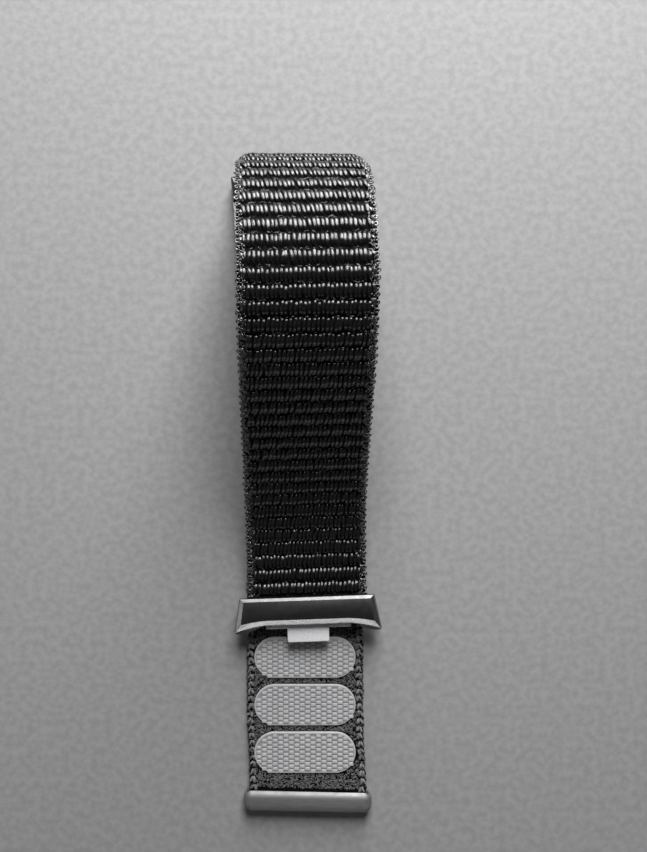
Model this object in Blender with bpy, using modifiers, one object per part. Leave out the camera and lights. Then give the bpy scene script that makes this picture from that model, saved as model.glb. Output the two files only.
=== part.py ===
"""A woven hook-and-loop watch strap with its two quick-release connectors, lying open on a table.

Units are metres and +Z is up. The strap lies along Y: its tail end points to -Y and its far bend to +Y.
The origin is on the underside of the tail, on the strap's centre line.
"""
import math

import bmesh
import bpy
from mathutils import Matrix, Vector

# Strap
STRAP_WIDTH = 0.0180
STRAP_THICKNESS = 0.0015
ARCH_HEIGHT = 0.0269
TAIL_LENGTH = 0.08825  # along the table, from the slot bar to the strap's end
TAIL_RISE_LENGTH = 0.0060  # where the end lifts to the middle of the end bar
TAIL_PRESSED_THICKNESS = 0.0009
TAIL_PRESS_LENGTH = 0.0005
TAIL_RISE_SHARE = 0.33  # how far it has risen half way
TAIL_TURN_LENGTH = 0.0110  # where the end turns a little askew
TAIL_END_TURN = math.radians(-1.2)
TAIL_END_SHIFT = 0.00045
WAIST_SHIFT = 0.0002
WAIST_TURN = math.radians(1.9)
CROWN_SHIFT = 0.0009
CROWN_TURN = math.radians(1.0)
BULGE_SHIFT = -0.00005
BULGE_TURN = math.radians(-0.4)
RIGHT_EDGE_DROP = 0.0014  # how far the strap's right edge falls back where it bends sharply
LEFT_EDGE_DROP = 0.0006
RUNNING_GAP = 0.0003
SNUG_GAP = 0.00015
FLUSH_GAP = 0.00005

# Hook pads
PAD_COUNT = 3
PAD_EDGE = 0.0012  # strap left bare beside each pad
PAD_WIDTH = 0.0063
PAD_PITCH = 0.0073
PAD_THICKNESS = 0.0005
PAD_PROUD = 0.00025
PAD_BAR_MARGIN = 0.0025  # strap left bare between the end bar and the first pad
PAD_ARC_STEPS = 10

# End bar
BAR_OVERHANG = 0.00085  # beyond the strap's edge on each side
BAR_DEPTH = 0.00345
BAR_HEIGHT = 0.0025
BAR_CORNER = 0.0013
BAR_ROUNDING = 0.0012
BAR_ROUNDING_STEPS = 4
BAR_BACK_WALL = 0.0007

# Where the fixed connector sits
FIXED_REACH = 0.05675  # from the slot bar back to the strap pin
FIXED_TURN = math.radians(2.0)
FIXED_SHIFT = 0.0004
PIN_HEIGHT = 0.0032
PIN_RADIUS = 0.0004
EYE_RADIUS = 0.00115

# Where the sliding connector sits
SLIDING_PLACE_Y = 0.0300
SLIDING_SHIFT = -0.00075
SLIDING_TURN = math.radians(-4.0)
SLIDING_TILT = math.radians(-8.5)
SLOT_BAR_RADIUS = 0.00065
SLOT_OPENING = 0.0027
STRAP_LEAN = math.radians(65.0)  # the strap's slope where it leaves the slot

# Both connectors
CHEEK = 0.00085  # metal beside the strap on each side
FLARE = 0.00095  # the front's extra half width over the rear
FLARE_LENGTH = 0.00545
EAR_DROP = 0.0013
EAR_TIP = 0.0004
FRONT_SIDE_BEVEL = 0.0011
REAR_SIDE_BEVEL = 0.0007
LOWER_SIDE_BEVEL = 0.00015
FRONT_BEVEL = 0.00085
REAR_BEVEL = 0.00047
FRONT_BEVEL_DEPTH = 0.0005
REAR_BEVEL_DEPTH = 0.00025
EAR_START = 0.0055  # from the middle to where the front begins to curve down to an ear
SHOULDER_DROP = 0.0010  # how far forward the bevel's lower edge runs at an ear
BEVEL_TOP_DROP = 0.0008
EAR_DEPTH = 0.0006  # from the bevel's lower edge down to where an ear is fullest
UNDER_BEVEL = 0.00015
LUG_WALL = 0.0006
TONGUE_WIDTH = 0.0130
TONGUE_THICKNESS = 0.0005
TONGUE_REACH = 0.00105
TONGUE_BEVEL = 0.0001
TAB_WIDTH = 0.0063
TAB_REACH = 0.0029
TAB_THICKNESS = 0.0006
TAB_ROUNDING = 0.00025
LATCH_PIN_RADIUS = 0.00025
LATCH_BARREL_RADIUS = 0.00065
LATCH_PIN_GRIP_SHARE = 0.11
SPRING_THICKNESS = 0.00015
SPRING_WIDTH = 0.0040
RIVET_RADIUS = 0.0004
RIVET_HEAD_RADIUS = 0.0008
RIVET_HEAD_HEIGHT = 0.00025
RIVET_DEPTH = 0.0012
OVERRUN = 0.0010
ROUND_SIDES = 24
FINE_SIDES = 16
CORNER_STEPS = 3
TAB_CORNER_STEPS = 4
FRONT_STEPS = 5
SPRING_STEPS = 6
SHARP_ANGLE = math.radians(30.0)

# Fixed connector's own sizes, measured from its strap pin
FIXED_FRONT = 0.0030
FIXED_TOP = 0.0020
FIXED_BOTTOM = -0.0011
MOUTH_SHARE = 0.87  # of the eye's room, how high the strap's mouth opens at the rear
REAR_LEAN = math.radians(10.0)  # how the rear falls away under the body

# Sliding connector's own sizes, measured from its slot bar
SLIDING_REAR = -0.0011
SLIDING_BODY_LENGTH = 0.0027
SLIDING_TOP = 0.0020
SLIDING_BOTTOM = -0.0011
ARM_TOP = 0.00105
ARM_TAPER = 0.00035  # how much nearer the strap an arm's outer side is at its end
SLOT_LIP_TOP = 0.0008
SLOT_LIP_RUN = 0.0010

# Worked out from the sizes above
PAD_LENGTH = STRAP_WIDTH - PAD_EDGE * 2
BAR_WIDTH = STRAP_WIDTH + BAR_OVERHANG * 2
REAR_WIDTH = STRAP_WIDTH + (RUNNING_GAP + CHEEK) * 2
FRONT_WIDTH = REAR_WIDTH + FLARE * 2
STRAIGHT_FRONT = TONGUE_WIDTH + SNUG_GAP * 2
RIVET_SPACING = (TONGUE_WIDTH + TAB_WIDTH) / 2
LATCH_PIN_GRIP = (TONGUE_WIDTH - TAB_WIDTH) * LATCH_PIN_GRIP_SHARE
WRAP_INNER_RADIUS = SLOT_BAR_RADIUS + RUNNING_GAP
WRAP_OUTER_RADIUS = WRAP_INNER_RADIUS + STRAP_THICKNESS
PIN_Y = SLIDING_PLACE_Y - FIXED_REACH
TAIL_END_Y = SLIDING_PLACE_Y - TAIL_LENGTH
BAR_NEAR_Y = TAIL_END_Y - RUNNING_GAP - BAR_BACK_WALL
BAR_STRAP_SIDE_Y = BAR_NEAR_Y + BAR_DEPTH
FIXED_REAR = FIXED_FRONT + EAR_DROP - FLARE_LENGTH
SLIDING_BODY_REAR = SLOT_BAR_RADIUS + SLOT_OPENING
SLIDING_FRONT = SLIDING_BODY_REAR + SLIDING_BODY_LENGTH
SLIDING_ARM_LENGTH = SLIDING_FRONT + EAR_DROP - FLARE_LENGTH - SLIDING_REAR

# The arch's outer face, from the strap pin to the slot: shares of FIXED_REACH and of the rise to its top
ARCH_SHARES = [
    (0.049, 0.002), (0.120, 0.021), (0.191, 0.073), (0.260, 0.150), (0.322, 0.240), (0.380, 0.343),
    (0.433, 0.446), (0.493, 0.571), (0.553, 0.695), (0.613, 0.807), (0.675, 0.905), (0.746, 0.975),
    (0.818, 1.000), (0.890, 0.975), (0.961, 0.915), (1.023, 0.833), (1.082, 0.713), (1.124, 0.571),
    (1.140, 0.430), (1.128, 0.305), (1.104, 0.199), (1.080, 0.117),
]
COLUMN_SHARES = (-1.0, -0.92, -0.83, -0.71, 0.71, 0.83, 0.92, 1.0)
FLAT_MIDDLE_SHARE = 0.70  # of the half width, level in the bend
BEND_SHARE = 0.85  # of the way to the slot, where the bend is sharpest
BEND_SPAN_SHARE = 0.14
ARCH_STEPS = 2
WAIST_SHARE = 0.14
CROWN_SHARE = 0.57
BULGE_SHARE = 0.84
WRAP_STEPS = 6
TAIL_STEPS = 8
SETTLED_TAIL_SHARE = 0.35

COLOURS = {
    "nylon": ((0.012, 0.012, 0.013), 0.75, 0.0),
    "hook": ((0.40, 0.40, 0.41), 0.50, 0.0),
    "dark_metal": ((0.060, 0.060, 0.064), 0.35, 1.0),
    "bar_metal": ((0.16, 0.16, 0.165), 0.38, 1.0),
    "tab_metal": ((0.55, 0.55, 0.54), 0.45, 0.6),
    "steel": ((0.60, 0.60, 0.60), 0.30, 1.0),
}


def clear_scene():
    for obj in list(bpy.data.objects):
        bpy.data.objects.remove(obj, do_unlink=True)


def new_collection(name):
    collection = bpy.data.collections.new(name)
    bpy.context.scene.collection.children.link(collection)
    return collection


def material(name):
    if name in bpy.data.materials:
        return bpy.data.materials[name]
    colour, roughness, metallic = COLOURS[name]
    made = bpy.data.materials.new(name)
    made.use_nodes = True
    shader = made.node_tree.nodes["Principled BSDF"]
    shader.inputs["Base Color"].default_value = (*colour, 1.0)
    shader.inputs["Roughness"].default_value = roughness
    shader.inputs["Metallic"].default_value = metallic
    return made


def add_object(bm, name, material_name=None, parent=None, place=(0, 0, 0)):
    """A named part from a bmesh, or a hidden cutter if it has no material."""
    mesh = bpy.data.meshes.new(name)
    bmesh.ops.recalc_face_normals(bm, faces=bm.faces)
    bm.to_mesh(mesh)
    bm.free()
    obj = bpy.data.objects.new(name, mesh)
    obj.parent = parent
    obj.location = place
    if material_name is None:
        CUTTERS.objects.link(obj)
        obj.hide_render = True
        obj.display_type = "WIRE"
    else:
        STRAP_PARTS.objects.link(obj)
        mesh.materials.append(material(material_name))
        mesh.shade_smooth()
        mesh.set_sharp_from_angle(angle=SHARP_ANGLE)
    return obj


def combine(obj, other, operation):
    modifier = obj.modifiers.new(other.name, "BOOLEAN")
    modifier.operation = operation
    modifier.object = other


def box_mesh(low, high):
    low = Vector(low)
    high = Vector(high)
    bm = bmesh.new()
    bmesh.ops.create_cube(bm, size=1.0)
    bmesh.ops.scale(bm, vec=high - low, verts=bm.verts)
    bmesh.ops.translate(bm, vec=(low + high) / 2, verts=bm.verts)
    return bm


def rod_mesh(radius, length, axis="X", sides=ROUND_SIDES, place=(0, 0, 0)):
    bm = bmesh.new()
    bmesh.ops.create_cone(
        bm, cap_ends=True, segments=sides, radius1=radius, radius2=radius, depth=length
    )
    if axis == "X":
        bmesh.ops.rotate(bm, matrix=Matrix.Rotation(math.pi / 2, 3, "Y"), verts=bm.verts)
    bmesh.ops.translate(bm, vec=place, verts=bm.verts)
    return bm


def cut_box(obj, name, low, high, parent=None):
    combine(obj, add_object(box_mesh(low, high), name, parent=parent), "DIFFERENCE")


def cut_rod(obj, name, radius, length, axis="X", place=(0, 0, 0), parent=None):
    cutter = add_object(rod_mesh(radius, length, axis, FINE_SIDES, place), name, parent=parent)
    combine(obj, cutter, "DIFFERENCE")


def extrude_face(bm, face, step):
    """Extrudes a face by a step and returns its moved corners."""
    raised = bmesh.ops.extrude_face_region(bm, geom=[face])["geom"]
    moved = [item for item in raised if isinstance(item, bmesh.types.BMVert)]
    bmesh.ops.translate(bm, vec=step, verts=moved)
    return moved


def plate_mesh(outline, low, high):
    """A flat outline of (x, y) points, raised from low to high."""
    bm = bmesh.new()
    face = bm.faces.new([bm.verts.new((x, y, low)) for x, y in outline])
    extrude_face(bm, face, (0, 0, high - low))
    return bm


def bevel_edges(bm, wanted, width, steps=1):
    edges = [edge for edge in bm.edges if wanted(edge)]
    bmesh.ops.bevel(bm, geom=edges, offset=width, segments=steps, affect="EDGES", profile=0.5)


def smooth_step(share):
    return share * share * (3 - 2 * share)


def catmull(a, b, c, d, t):
    return (
        b * 2 + (c - a) * t + (a * 2 - b * 5 + c * 4 - d) * t * t + (b * 3 - a - c * 3 + d) * t**3
    ) / 2


# The strap's route


def arch_points():
    """The outer face's (y, z) points from the strap pin to where the wrap round the slot bar begins."""
    start = Vector((PIN_Y, PIN_HEIGHT - EYE_RADIUS + FLUSH_GAP + STRAP_THICKNESS))
    rise = ARCH_HEIGHT - start.y
    wrap = wrap_points()
    middle = [
        start + Vector((along * FIXED_REACH, up * rise)) for along, up in ARCH_SHARES
    ]
    knots = [start * 2 - middle[0], start, *middle, wrap[0], wrap[1]]
    points = []
    for a, b, c, d in zip(knots, knots[1:], knots[2:], knots[3:]):
        points += [catmull(a, b, c, d, step / ARCH_STEPS) for step in range(ARCH_STEPS)]
    return points


def wrap_points():
    """The outer face's (y, z) points round the underside of the slot bar, down to the table."""
    centre = Vector((SLIDING_PLACE_Y, WRAP_OUTER_RADIUS))
    first = STRAP_LEAN - math.pi / 2
    points = []
    for step in range(WRAP_STEPS + 1):
        turn = first + (-math.pi / 2 - first) * step / WRAP_STEPS
        points.append(centre + WRAP_OUTER_RADIUS * Vector((math.cos(turn), math.sin(turn))))
    return points


def tail_points():
    """The outer face's (y, z) points along the table, then up into the end bar."""
    flat_end = BAR_STRAP_SIDE_Y + TAIL_RISE_LENGTH
    rise = (BAR_HEIGHT - TAIL_PRESSED_THICKNESS) / 2
    points = []
    for step in range(1, TAIL_STEPS + 1):
        points.append(Vector((SLIDING_PLACE_Y + (flat_end - SLIDING_PLACE_Y) * step / TAIL_STEPS, 0)))
    half_way = BAR_STRAP_SIDE_Y + TAIL_RISE_LENGTH / 2
    points.append(Vector((half_way, rise * TAIL_RISE_SHARE)))
    points.append(Vector((BAR_STRAP_SIDE_Y + TAIL_PRESS_LENGTH, rise)))
    points.append(Vector((BAR_STRAP_SIDE_Y - TAIL_PRESS_LENGTH, rise)))
    points.append(Vector((TAIL_END_Y, rise)))
    return points


def edge_drop(share, bend):
    """How far a point across the strap falls back behind its middle, at a place along the sharp bend."""
    outer = max(abs(share) - FLAT_MIDDLE_SHARE, 0.0) / (1.0 - FLAT_MIDDLE_SHARE)
    drop = RIGHT_EDGE_DROP if share > 0 else LEFT_EDGE_DROP
    return drop * outer * outer * smooth_step(bend)


def strap_rows():
    """Each row's middle on the outer face, its directions across and out, its bend, and if it is pressed."""
    arch = arch_points()
    wrap = wrap_points()
    tail = tail_points()
    points = arch + wrap + tail
    lengths = [0.0]
    for before, after in zip(points, points[1:]):
        lengths.append(lengths[-1] + (after - before).length)
    slot = lengths[len(arch)]
    bar = lengths[-3]
    stations = [
        (0.0, FIXED_SHIFT, FIXED_TURN),
        (slot * WAIST_SHARE, WAIST_SHIFT, WAIST_TURN),
        (slot * CROWN_SHARE, CROWN_SHIFT, CROWN_TURN),
        (slot * BULGE_SHARE, BULGE_SHIFT, BULGE_TURN),
        (slot - WRAP_OUTER_RADIUS, SLIDING_SHIFT, SLIDING_TURN),
        (slot + WRAP_OUTER_RADIUS * 2, SLIDING_SHIFT, SLIDING_TURN),
        (slot + TAIL_LENGTH * SETTLED_TAIL_SHARE, 0.0, 0.0),
        (bar - TAIL_TURN_LENGTH, 0.0, 0.0),
        (bar, TAIL_END_SHIFT, TAIL_END_TURN),
        (lengths[-1], TAIL_END_SHIFT, TAIL_END_TURN),
    ]
    rows = []
    for number, (point, length) in enumerate(zip(points, lengths)):
        for (before, x0, turn0), (after, x1, turn1) in zip(stations, stations[1:]):
            if length <= after or after == lengths[-1]:
                share = smooth_step(min(max((length - before) / (after - before), 0.0), 1.0))
                break
        turn = turn0 + (turn1 - turn0) * share
        middle = Vector((x0 + (x1 - x0) * share, point.x, point.y))
        across = Vector((math.cos(turn), math.sin(turn), 0.0))
        along = points[min(number + 1, len(points) - 1)] - points[max(number - 1, 0)]
        out = Vector((0.0, -along.y, along.x)).normalized()
        bend = max(1.0 - abs(length / slot - BEND_SHARE) / BEND_SPAN_SHARE, 0.0)
        rows.append((middle, across, out, bend, number >= len(points) - 2))
    return rows


def make_strap():
    """One woven strip: an eye for the strap pin, the arch, the wrap round the slot bar, and the tail."""
    rows = strap_rows()
    bm = bmesh.new()
    lines = []
    for middle, across, out, bend, _ in rows:
        line = []
        for share in COLUMN_SHARES:
            point = middle + across * share * STRAP_WIDTH / 2 - out * edge_drop(share, bend)
            line.append(bm.verts.new(point))
        lines.append(line)
    for line, following in zip(lines, lines[1:]):
        for near, far, next_near, next_far in zip(line, line[1:], following, following[1:]):
            bm.faces.new((near, far, next_far, next_near))
    full = [index for index, row in enumerate(rows) if not row[-1]]
    columns = len(COLUMN_SHARES)
    mesh = bpy.data.meshes.new("woven_strap")
    bm.to_mesh(mesh)
    bm.free()
    mesh.materials.append(material("nylon"))
    strap = bpy.data.objects.new("woven_strap", mesh)
    STRAP_PARTS.objects.link(strap)
    group = strap.vertex_groups.new(name="full_thickness")
    group.add([index * columns + side for index in full for side in range(columns)], 1.0, "REPLACE")
    solid = strap.modifiers.new("thickness", "SOLIDIFY")
    solid.thickness = STRAP_THICKNESS
    solid.offset = -1.0
    solid.use_even_offset = True
    solid.vertex_group = group.name
    solid.thickness_vertex_group = TAIL_PRESSED_THICKNESS / STRAP_THICKNESS
    eye = add_object(rod_mesh(EYE_RADIUS, STRAP_WIDTH), "eye_form", parent=FIXED)
    combine(strap, eye, "UNION")
    cut_rod(strap, "eye_bore", PIN_RADIUS + RUNNING_GAP, STRAP_WIDTH + OVERRUN, parent=FIXED)
    return strap


# Hook pads and end bar


def pill_outline(length, width, steps):
    """A bar with full round ends, lying along X."""
    radius = width / 2
    points = []
    for end in (1, -1):
        for step in range(steps + 1):
            turn = math.pi * (step / steps - 1 / 2)
            x = length / 2 - radius + radius * math.cos(turn)
            points.append((end * x, end * radius * math.sin(turn)))
    return points


def make_hook_pads(strap):
    first = BAR_STRAP_SIDE_Y + PAD_BAR_MARGIN + PAD_WIDTH / 2
    top = STRAP_THICKNESS + PAD_PROUD
    bottom = top - PAD_THICKNESS
    for number in range(PAD_COUNT):
        place = (0, first + number * PAD_PITCH, 0)
        bm = plate_mesh(pill_outline(PAD_LENGTH, PAD_WIDTH, PAD_ARC_STEPS), bottom, top)
        add_object(bm, f"hook_pad_{number + 1}", "hook", place=place)
        seat = pill_outline(PAD_LENGTH + SNUG_GAP * 2, PAD_WIDTH + SNUG_GAP * 2, PAD_ARC_STEPS)
        recess = plate_mesh(seat, bottom - RUNNING_GAP, top + OVERRUN)
        combine(strap, add_object(recess, f"pad_seat_{number + 1}", place=place), "DIFFERENCE")


def bar_outline():
    """The end bar seen from above: a long box with rounded corners, back from the strap's side."""
    points = []
    for quarter, (side, end) in enumerate(((1, 0), (-1, 0), (-1, -1), (1, -1))):
        middle_x = side * (BAR_WIDTH / 2 - BAR_CORNER)
        middle_y = end * BAR_DEPTH - BAR_CORNER * (1 + 2 * end)
        for step in range(CORNER_STEPS + 1):
            turn = math.pi / 2 * (quarter + step / CORNER_STEPS)
            points.append((middle_x + BAR_CORNER * math.cos(turn), middle_y + BAR_CORNER * math.sin(turn)))
    return points


def make_tail_bar():
    """The metal clamp on the strap's end, wider than the slot so that the strap can't slip out."""
    pivot = bpy.data.objects.new("tail_end", None)
    STRAP_PARTS.objects.link(pivot)
    pivot.location = (TAIL_END_SHIFT, BAR_STRAP_SIDE_Y, BAR_HEIGHT / 2)
    pivot.rotation_euler = (0, 0, TAIL_END_TURN)
    half_bar = BAR_HEIGHT / 2
    bm = plate_mesh(bar_outline(), -half_bar, half_bar)
    bevel_edges(
        bm, lambda edge: edge.verts[0].co.z == edge.verts[1].co.z, BAR_ROUNDING, BAR_ROUNDING_STEPS
    )
    bar = add_object(bm, "tail_bar", "bar_metal", parent=pivot)
    half_width = STRAP_WIDTH / 2 + RUNNING_GAP
    half_height = TAIL_PRESSED_THICKNESS / 2 + RUNNING_GAP
    mouth_low = (-half_width, -BAR_DEPTH + BAR_BACK_WALL, -half_height)
    cut_box(bar, "bar_mouth", mouth_low, (half_width, OVERRUN, half_height), pivot)


# Connectors


def lug_outline(front, arm_length):
    """A connector seen from above: arms, flared sides, a straight middle front and an ear at each corner."""
    ear = front + EAR_DROP
    flare_start = ear - FLARE_LENGTH
    right = [(REAR_WIDTH / 2, flare_start)]
    if arm_length > 0:
        right.insert(0, (REAR_WIDTH / 2 - ARM_TAPER, flare_start - arm_length))
    tip_x = FRONT_WIDTH / 2 - EAR_TIP
    for step in range(CORNER_STEPS + 1):
        turn = math.pi / 2 * step / CORNER_STEPS
        right.append((tip_x + EAR_TIP * math.cos(turn), ear - EAR_TIP + EAR_TIP * math.sin(turn)))
    for step in range(1, FRONT_STEPS + 1):
        share = step / FRONT_STEPS
        x = tip_x - (tip_x - STRAIGHT_FRONT / 2) * share
        right.append((x, ear - EAR_DROP * share * share))
    left = [(-x, y) for x, y in reversed(right)]
    return right + left


def make_lug(name, front, arm_length, low, high, parent):
    """The metal body of a connector: a broad bevel round its top, full ears, and a fine bevel below."""
    bm = plate_mesh(lug_outline(front, arm_length), low, high)
    bevel_edges(bm, lambda edge: all(vert.co.z == low for vert in edge.verts), UNDER_BEVEL)
    rear = front + EAR_DROP - FLARE_LENGTH - arm_length
    rings = []
    for _ in range(2):
        top = max(bm.faces, key=lambda face: face.calc_center_median().z)
        rings.append(list(top.verts))
        last = extrude_face(bm, top, (0, 0, OVERRUN))
        bmesh.ops.delete(bm, geom=[top], context="FACES_ONLY")
    fullest, shoulder = rings
    for ring, lower in ((fullest, EAR_DEPTH), (shoulder, 0.0)):
        for vert in ring:
            forward = min((vert.co.y - rear) / (front - rear), 1.0)
            depth = REAR_BEVEL_DEPTH + (FRONT_BEVEL_DEPTH - REAR_BEVEL_DEPTH) * forward
            vert.co.z = high - depth - lower
    for vert in last:
        forward = min((vert.co.y - rear) / (front - rear), 1.0)
        bevel = REAR_SIDE_BEVEL + (FRONT_SIDE_BEVEL - REAR_SIDE_BEVEL) * forward
        vert.co.x *= 1 - bevel / (FRONT_WIDTH / 2)
        if vert.co.y > front:
            vert.co.y = ear_line(vert.co.x, front - FRONT_BEVEL, BEVEL_TOP_DROP)
        else:
            vert.co.y += REAR_BEVEL * (1 - forward) - FRONT_BEVEL * forward
        vert.co.z = high
    for vert in shoulder:
        vert.co.x *= 1 - LOWER_SIDE_BEVEL / (FRONT_WIDTH / 2)
        vert.co.y = min(vert.co.y, ear_line(vert.co.x, front, SHOULDER_DROP))
    return add_object(bm, name, "dark_metal", parent=parent)


def ear_line(x, middle, drop):
    """How far forward an edge of the top's bevel runs: straight in the middle, curving on to each ear."""
    share = max(abs(x) - EAR_START, 0.0) / (FRONT_WIDTH / 2 - EAR_START)
    return middle + drop * share * share


def add_latch(kind, shell, parent, front, top, bottom):
    """The tongue plate, the press tab on its pin and leaf spring, and the rivets, with their pockets."""
    tongue_top = bottom + TONGUE_THICKNESS
    latch_y = front - LATCH_BARREL_RADIUS - SNUG_GAP / 2
    latch_z = tongue_top + SNUG_GAP + LATCH_BARREL_RADIUS
    back = latch_y - LATCH_BARREL_RADIUS - SNUG_GAP
    roof = top - LUG_WALL
    half_tab = TAB_WIDTH / 2
    far = front + EAR_DROP + OVERRUN
    pocket_low = (-half_tab - RUNNING_GAP, back, tongue_top)
    cut_box(shell, f"{kind}_latch_pocket", pocket_low, (half_tab + RUNNING_GAP, far, roof), parent)
    half_tongue = TONGUE_WIDTH / 2
    seat_low = (-half_tongue - SNUG_GAP, back, bottom - OVERRUN)
    seat_high = (half_tongue + SNUG_GAP, far, tongue_top + SNUG_GAP)
    cut_box(shell, f"{kind}_tongue_seat", seat_low, seat_high, parent)
    pin_length = TAB_WIDTH + LATCH_PIN_GRIP * 2
    latch_place = (0, latch_y, latch_z)
    hole_length = pin_length + RUNNING_GAP * 2
    hole_radius = LATCH_PIN_RADIUS + SNUG_GAP
    cut_rod(shell, f"{kind}_pin_hole", hole_radius, hole_length, place=latch_place, parent=parent)
    pin = rod_mesh(LATCH_PIN_RADIUS, pin_length, sides=FINE_SIDES, place=latch_place)
    add_object(pin, f"{kind}_latch_pin", "steel", parent)
    make_tongue(kind, parent, back, front, bottom)
    make_tab(kind, parent, front, latch_place)
    make_spring(kind, parent, latch_place, roof)
    for side, side_name in ((-1, "left"), (1, "right")):
        place = (side * RIVET_SPACING / 2, (back + front) / 2, 0)
        make_rivet(kind, side_name, shell, parent, place, bottom)


def make_tongue(kind, parent, back, front, bottom):
    """The flat plate under the connector, whose front edge slides into the watch body's groove."""
    tip = front + TONGUE_REACH
    plate_low = (-TONGUE_WIDTH / 2, back + SNUG_GAP, bottom)
    bm = box_mesh(plate_low, (TONGUE_WIDTH / 2, tip, bottom + TONGUE_THICKNESS))
    bevel_edges(bm, lambda edge: all(vert.co.y > front for vert in edge.verts), TONGUE_BEVEL)
    add_object(bm, f"{kind}_tongue_plate", "steel", parent)


def make_tab(kind, parent, front, latch_place):
    """The press tab: a flat tongue on a barrel that turns on the latch pin."""
    _, latch_y, latch_z = latch_place
    pivot = bpy.data.objects.new(f"{kind}_tab_axis", None)
    STRAP_PARTS.objects.link(pivot)
    pivot.parent = parent
    pivot.location = latch_place
    tip = front + TAB_REACH - latch_y
    low = (-TAB_WIDTH / 2, 0, -TAB_THICKNESS / 2)
    bm = box_mesh(low, (TAB_WIDTH / 2, tip, TAB_THICKNESS / 2))
    corner = tip - TAB_ROUNDING
    bevel_edges(
        bm,
        lambda edge: all(vert.co.y > corner for vert in edge.verts)
        and edge.verts[0].co.x == edge.verts[1].co.x,
        TAB_ROUNDING,
        TAB_CORNER_STEPS,
    )
    tab = add_object(bm, f"{kind}_release_tab", "tab_metal", pivot)
    barrel = add_object(
        rod_mesh(LATCH_BARREL_RADIUS, TAB_WIDTH), f"{kind}_tab_barrel", parent=pivot
    )
    combine(tab, barrel, "UNION")
    bore = LATCH_PIN_RADIUS + SNUG_GAP
    cut_rod(tab, f"{kind}_tab_bore", bore, TAB_WIDTH + OVERRUN, parent=pivot)


def make_spring(kind, parent, latch_place, roof):
    """A bowed leaf spring between the connector's roof and the tab's barrel."""
    _, latch_y, latch_z = latch_place
    floor = latch_z + LATCH_BARREL_RADIUS
    room = roof - floor
    half = LATCH_BARREL_RADIUS
    lower = []
    for step in range(SPRING_STEPS + 1):
        share = -1 + 2 * step / SPRING_STEPS
        rise = (room - SPRING_THICKNESS) * (1 - share * share) / 2
        lower.append((latch_y + half * share, floor + SNUG_GAP + rise - SNUG_GAP / 2))
    upper = [(y, z + SPRING_THICKNESS) for y, z in reversed(lower)]
    bm = bmesh.new()
    left = -SPRING_WIDTH / 2
    face = bm.faces.new([bm.verts.new((left, y, z)) for y, z in lower + upper])
    extrude_face(bm, face, (SPRING_WIDTH, 0, 0))
    add_object(bm, f"{kind}_latch_spring", "steel", parent)


def make_rivet(kind, side_name, shell, parent, place, bottom):
    """A countersunk rivet from below, through the tongue plate into the connector's body."""
    x, y, _ = place
    head_low = bottom + FLUSH_GAP
    head_top = head_low + RIVET_HEAD_HEIGHT
    shank_top = bottom + RIVET_DEPTH
    head_place = (x, y, (head_low + head_top) / 2)
    head = rod_mesh(RIVET_HEAD_RADIUS, RIVET_HEAD_HEIGHT, "Z", FINE_SIDES, head_place)
    rivet = add_object(head, f"{kind}_rivet_{side_name}", "steel", parent)
    shank_place = (x, y, (head_low + shank_top) / 2)
    shank = rod_mesh(RIVET_RADIUS, shank_top - head_low - FLUSH_GAP, "Z", FINE_SIDES, shank_place)
    combine(rivet, add_object(shank, f"{kind}_shank_{side_name}", parent=parent), "UNION")
    plate = bpy.data.objects[f"{kind}_tongue_plate"]
    hole = RIVET_RADIUS + SNUG_GAP
    hole_length = (RIVET_DEPTH + SNUG_GAP) * 2
    cut_rod(plate, f"{kind}_plate_hole_{side_name}", hole, hole_length, "Z", (x, y, bottom), parent)
    cut_rod(shell, f"{kind}_shell_hole_{side_name}", hole, hole_length, "Z", (x, y, bottom), parent)
    sink = RIVET_HEAD_RADIUS + SNUG_GAP
    sink_length = (head_top + SNUG_GAP - bottom) * 2
    cut_rod(plate, f"{kind}_countersink_{side_name}", sink, sink_length, "Z", (x, y, bottom), parent)


def make_fixed_connector():
    """The connector at the strap's eye, held by the strap pin."""
    sizes = (FIXED_FRONT, 0.0, FIXED_BOTTOM, FIXED_TOP)
    shell = make_lug("fixed_connector_shell", *sizes, FIXED)
    room = EYE_RADIUS + RUNNING_GAP
    inner = STRAP_WIDTH / 2 + RUNNING_GAP
    far = FIXED_REAR - OVERRUN * 2
    cut_rod(shell, "fixed_eye_room", room, inner * 2, parent=FIXED)
    cut_box(shell, "fixed_strap_mouth", (-inner, far, far), (inner, room, 0), FIXED)
    mouth_top = room * MOUTH_SHARE
    cut_box(shell, "fixed_rear_mouth", (-inner, far, far), (inner, FIXED_REAR / 2, mouth_top), FIXED)
    lean = box_mesh((-FRONT_WIDTH, -OVERRUN, -FRONT_WIDTH), (FRONT_WIDTH, 0, 0))
    bmesh.ops.rotate(lean, matrix=Matrix.Rotation(REAR_LEAN, 3, "X"), verts=lean.verts)
    lean_top = FIXED_TOP - REAR_BEVEL_DEPTH * 2
    bmesh.ops.translate(lean, vec=(0, FIXED_REAR, lean_top), verts=lean.verts)
    combine(shell, add_object(lean, "fixed_rear_lean", parent=FIXED), "DIFFERENCE")
    hole = PIN_RADIUS + SNUG_GAP
    cut_rod(shell, "fixed_strap_pin_hole", hole, FRONT_WIDTH, parent=FIXED)
    pin = rod_mesh(PIN_RADIUS, REAR_WIDTH, sides=FINE_SIDES)
    add_object(pin, "strap_pin", "steel", FIXED)
    add_latch("fixed", shell, FIXED, FIXED_FRONT, FIXED_TOP, FIXED_BOTTOM)


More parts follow.
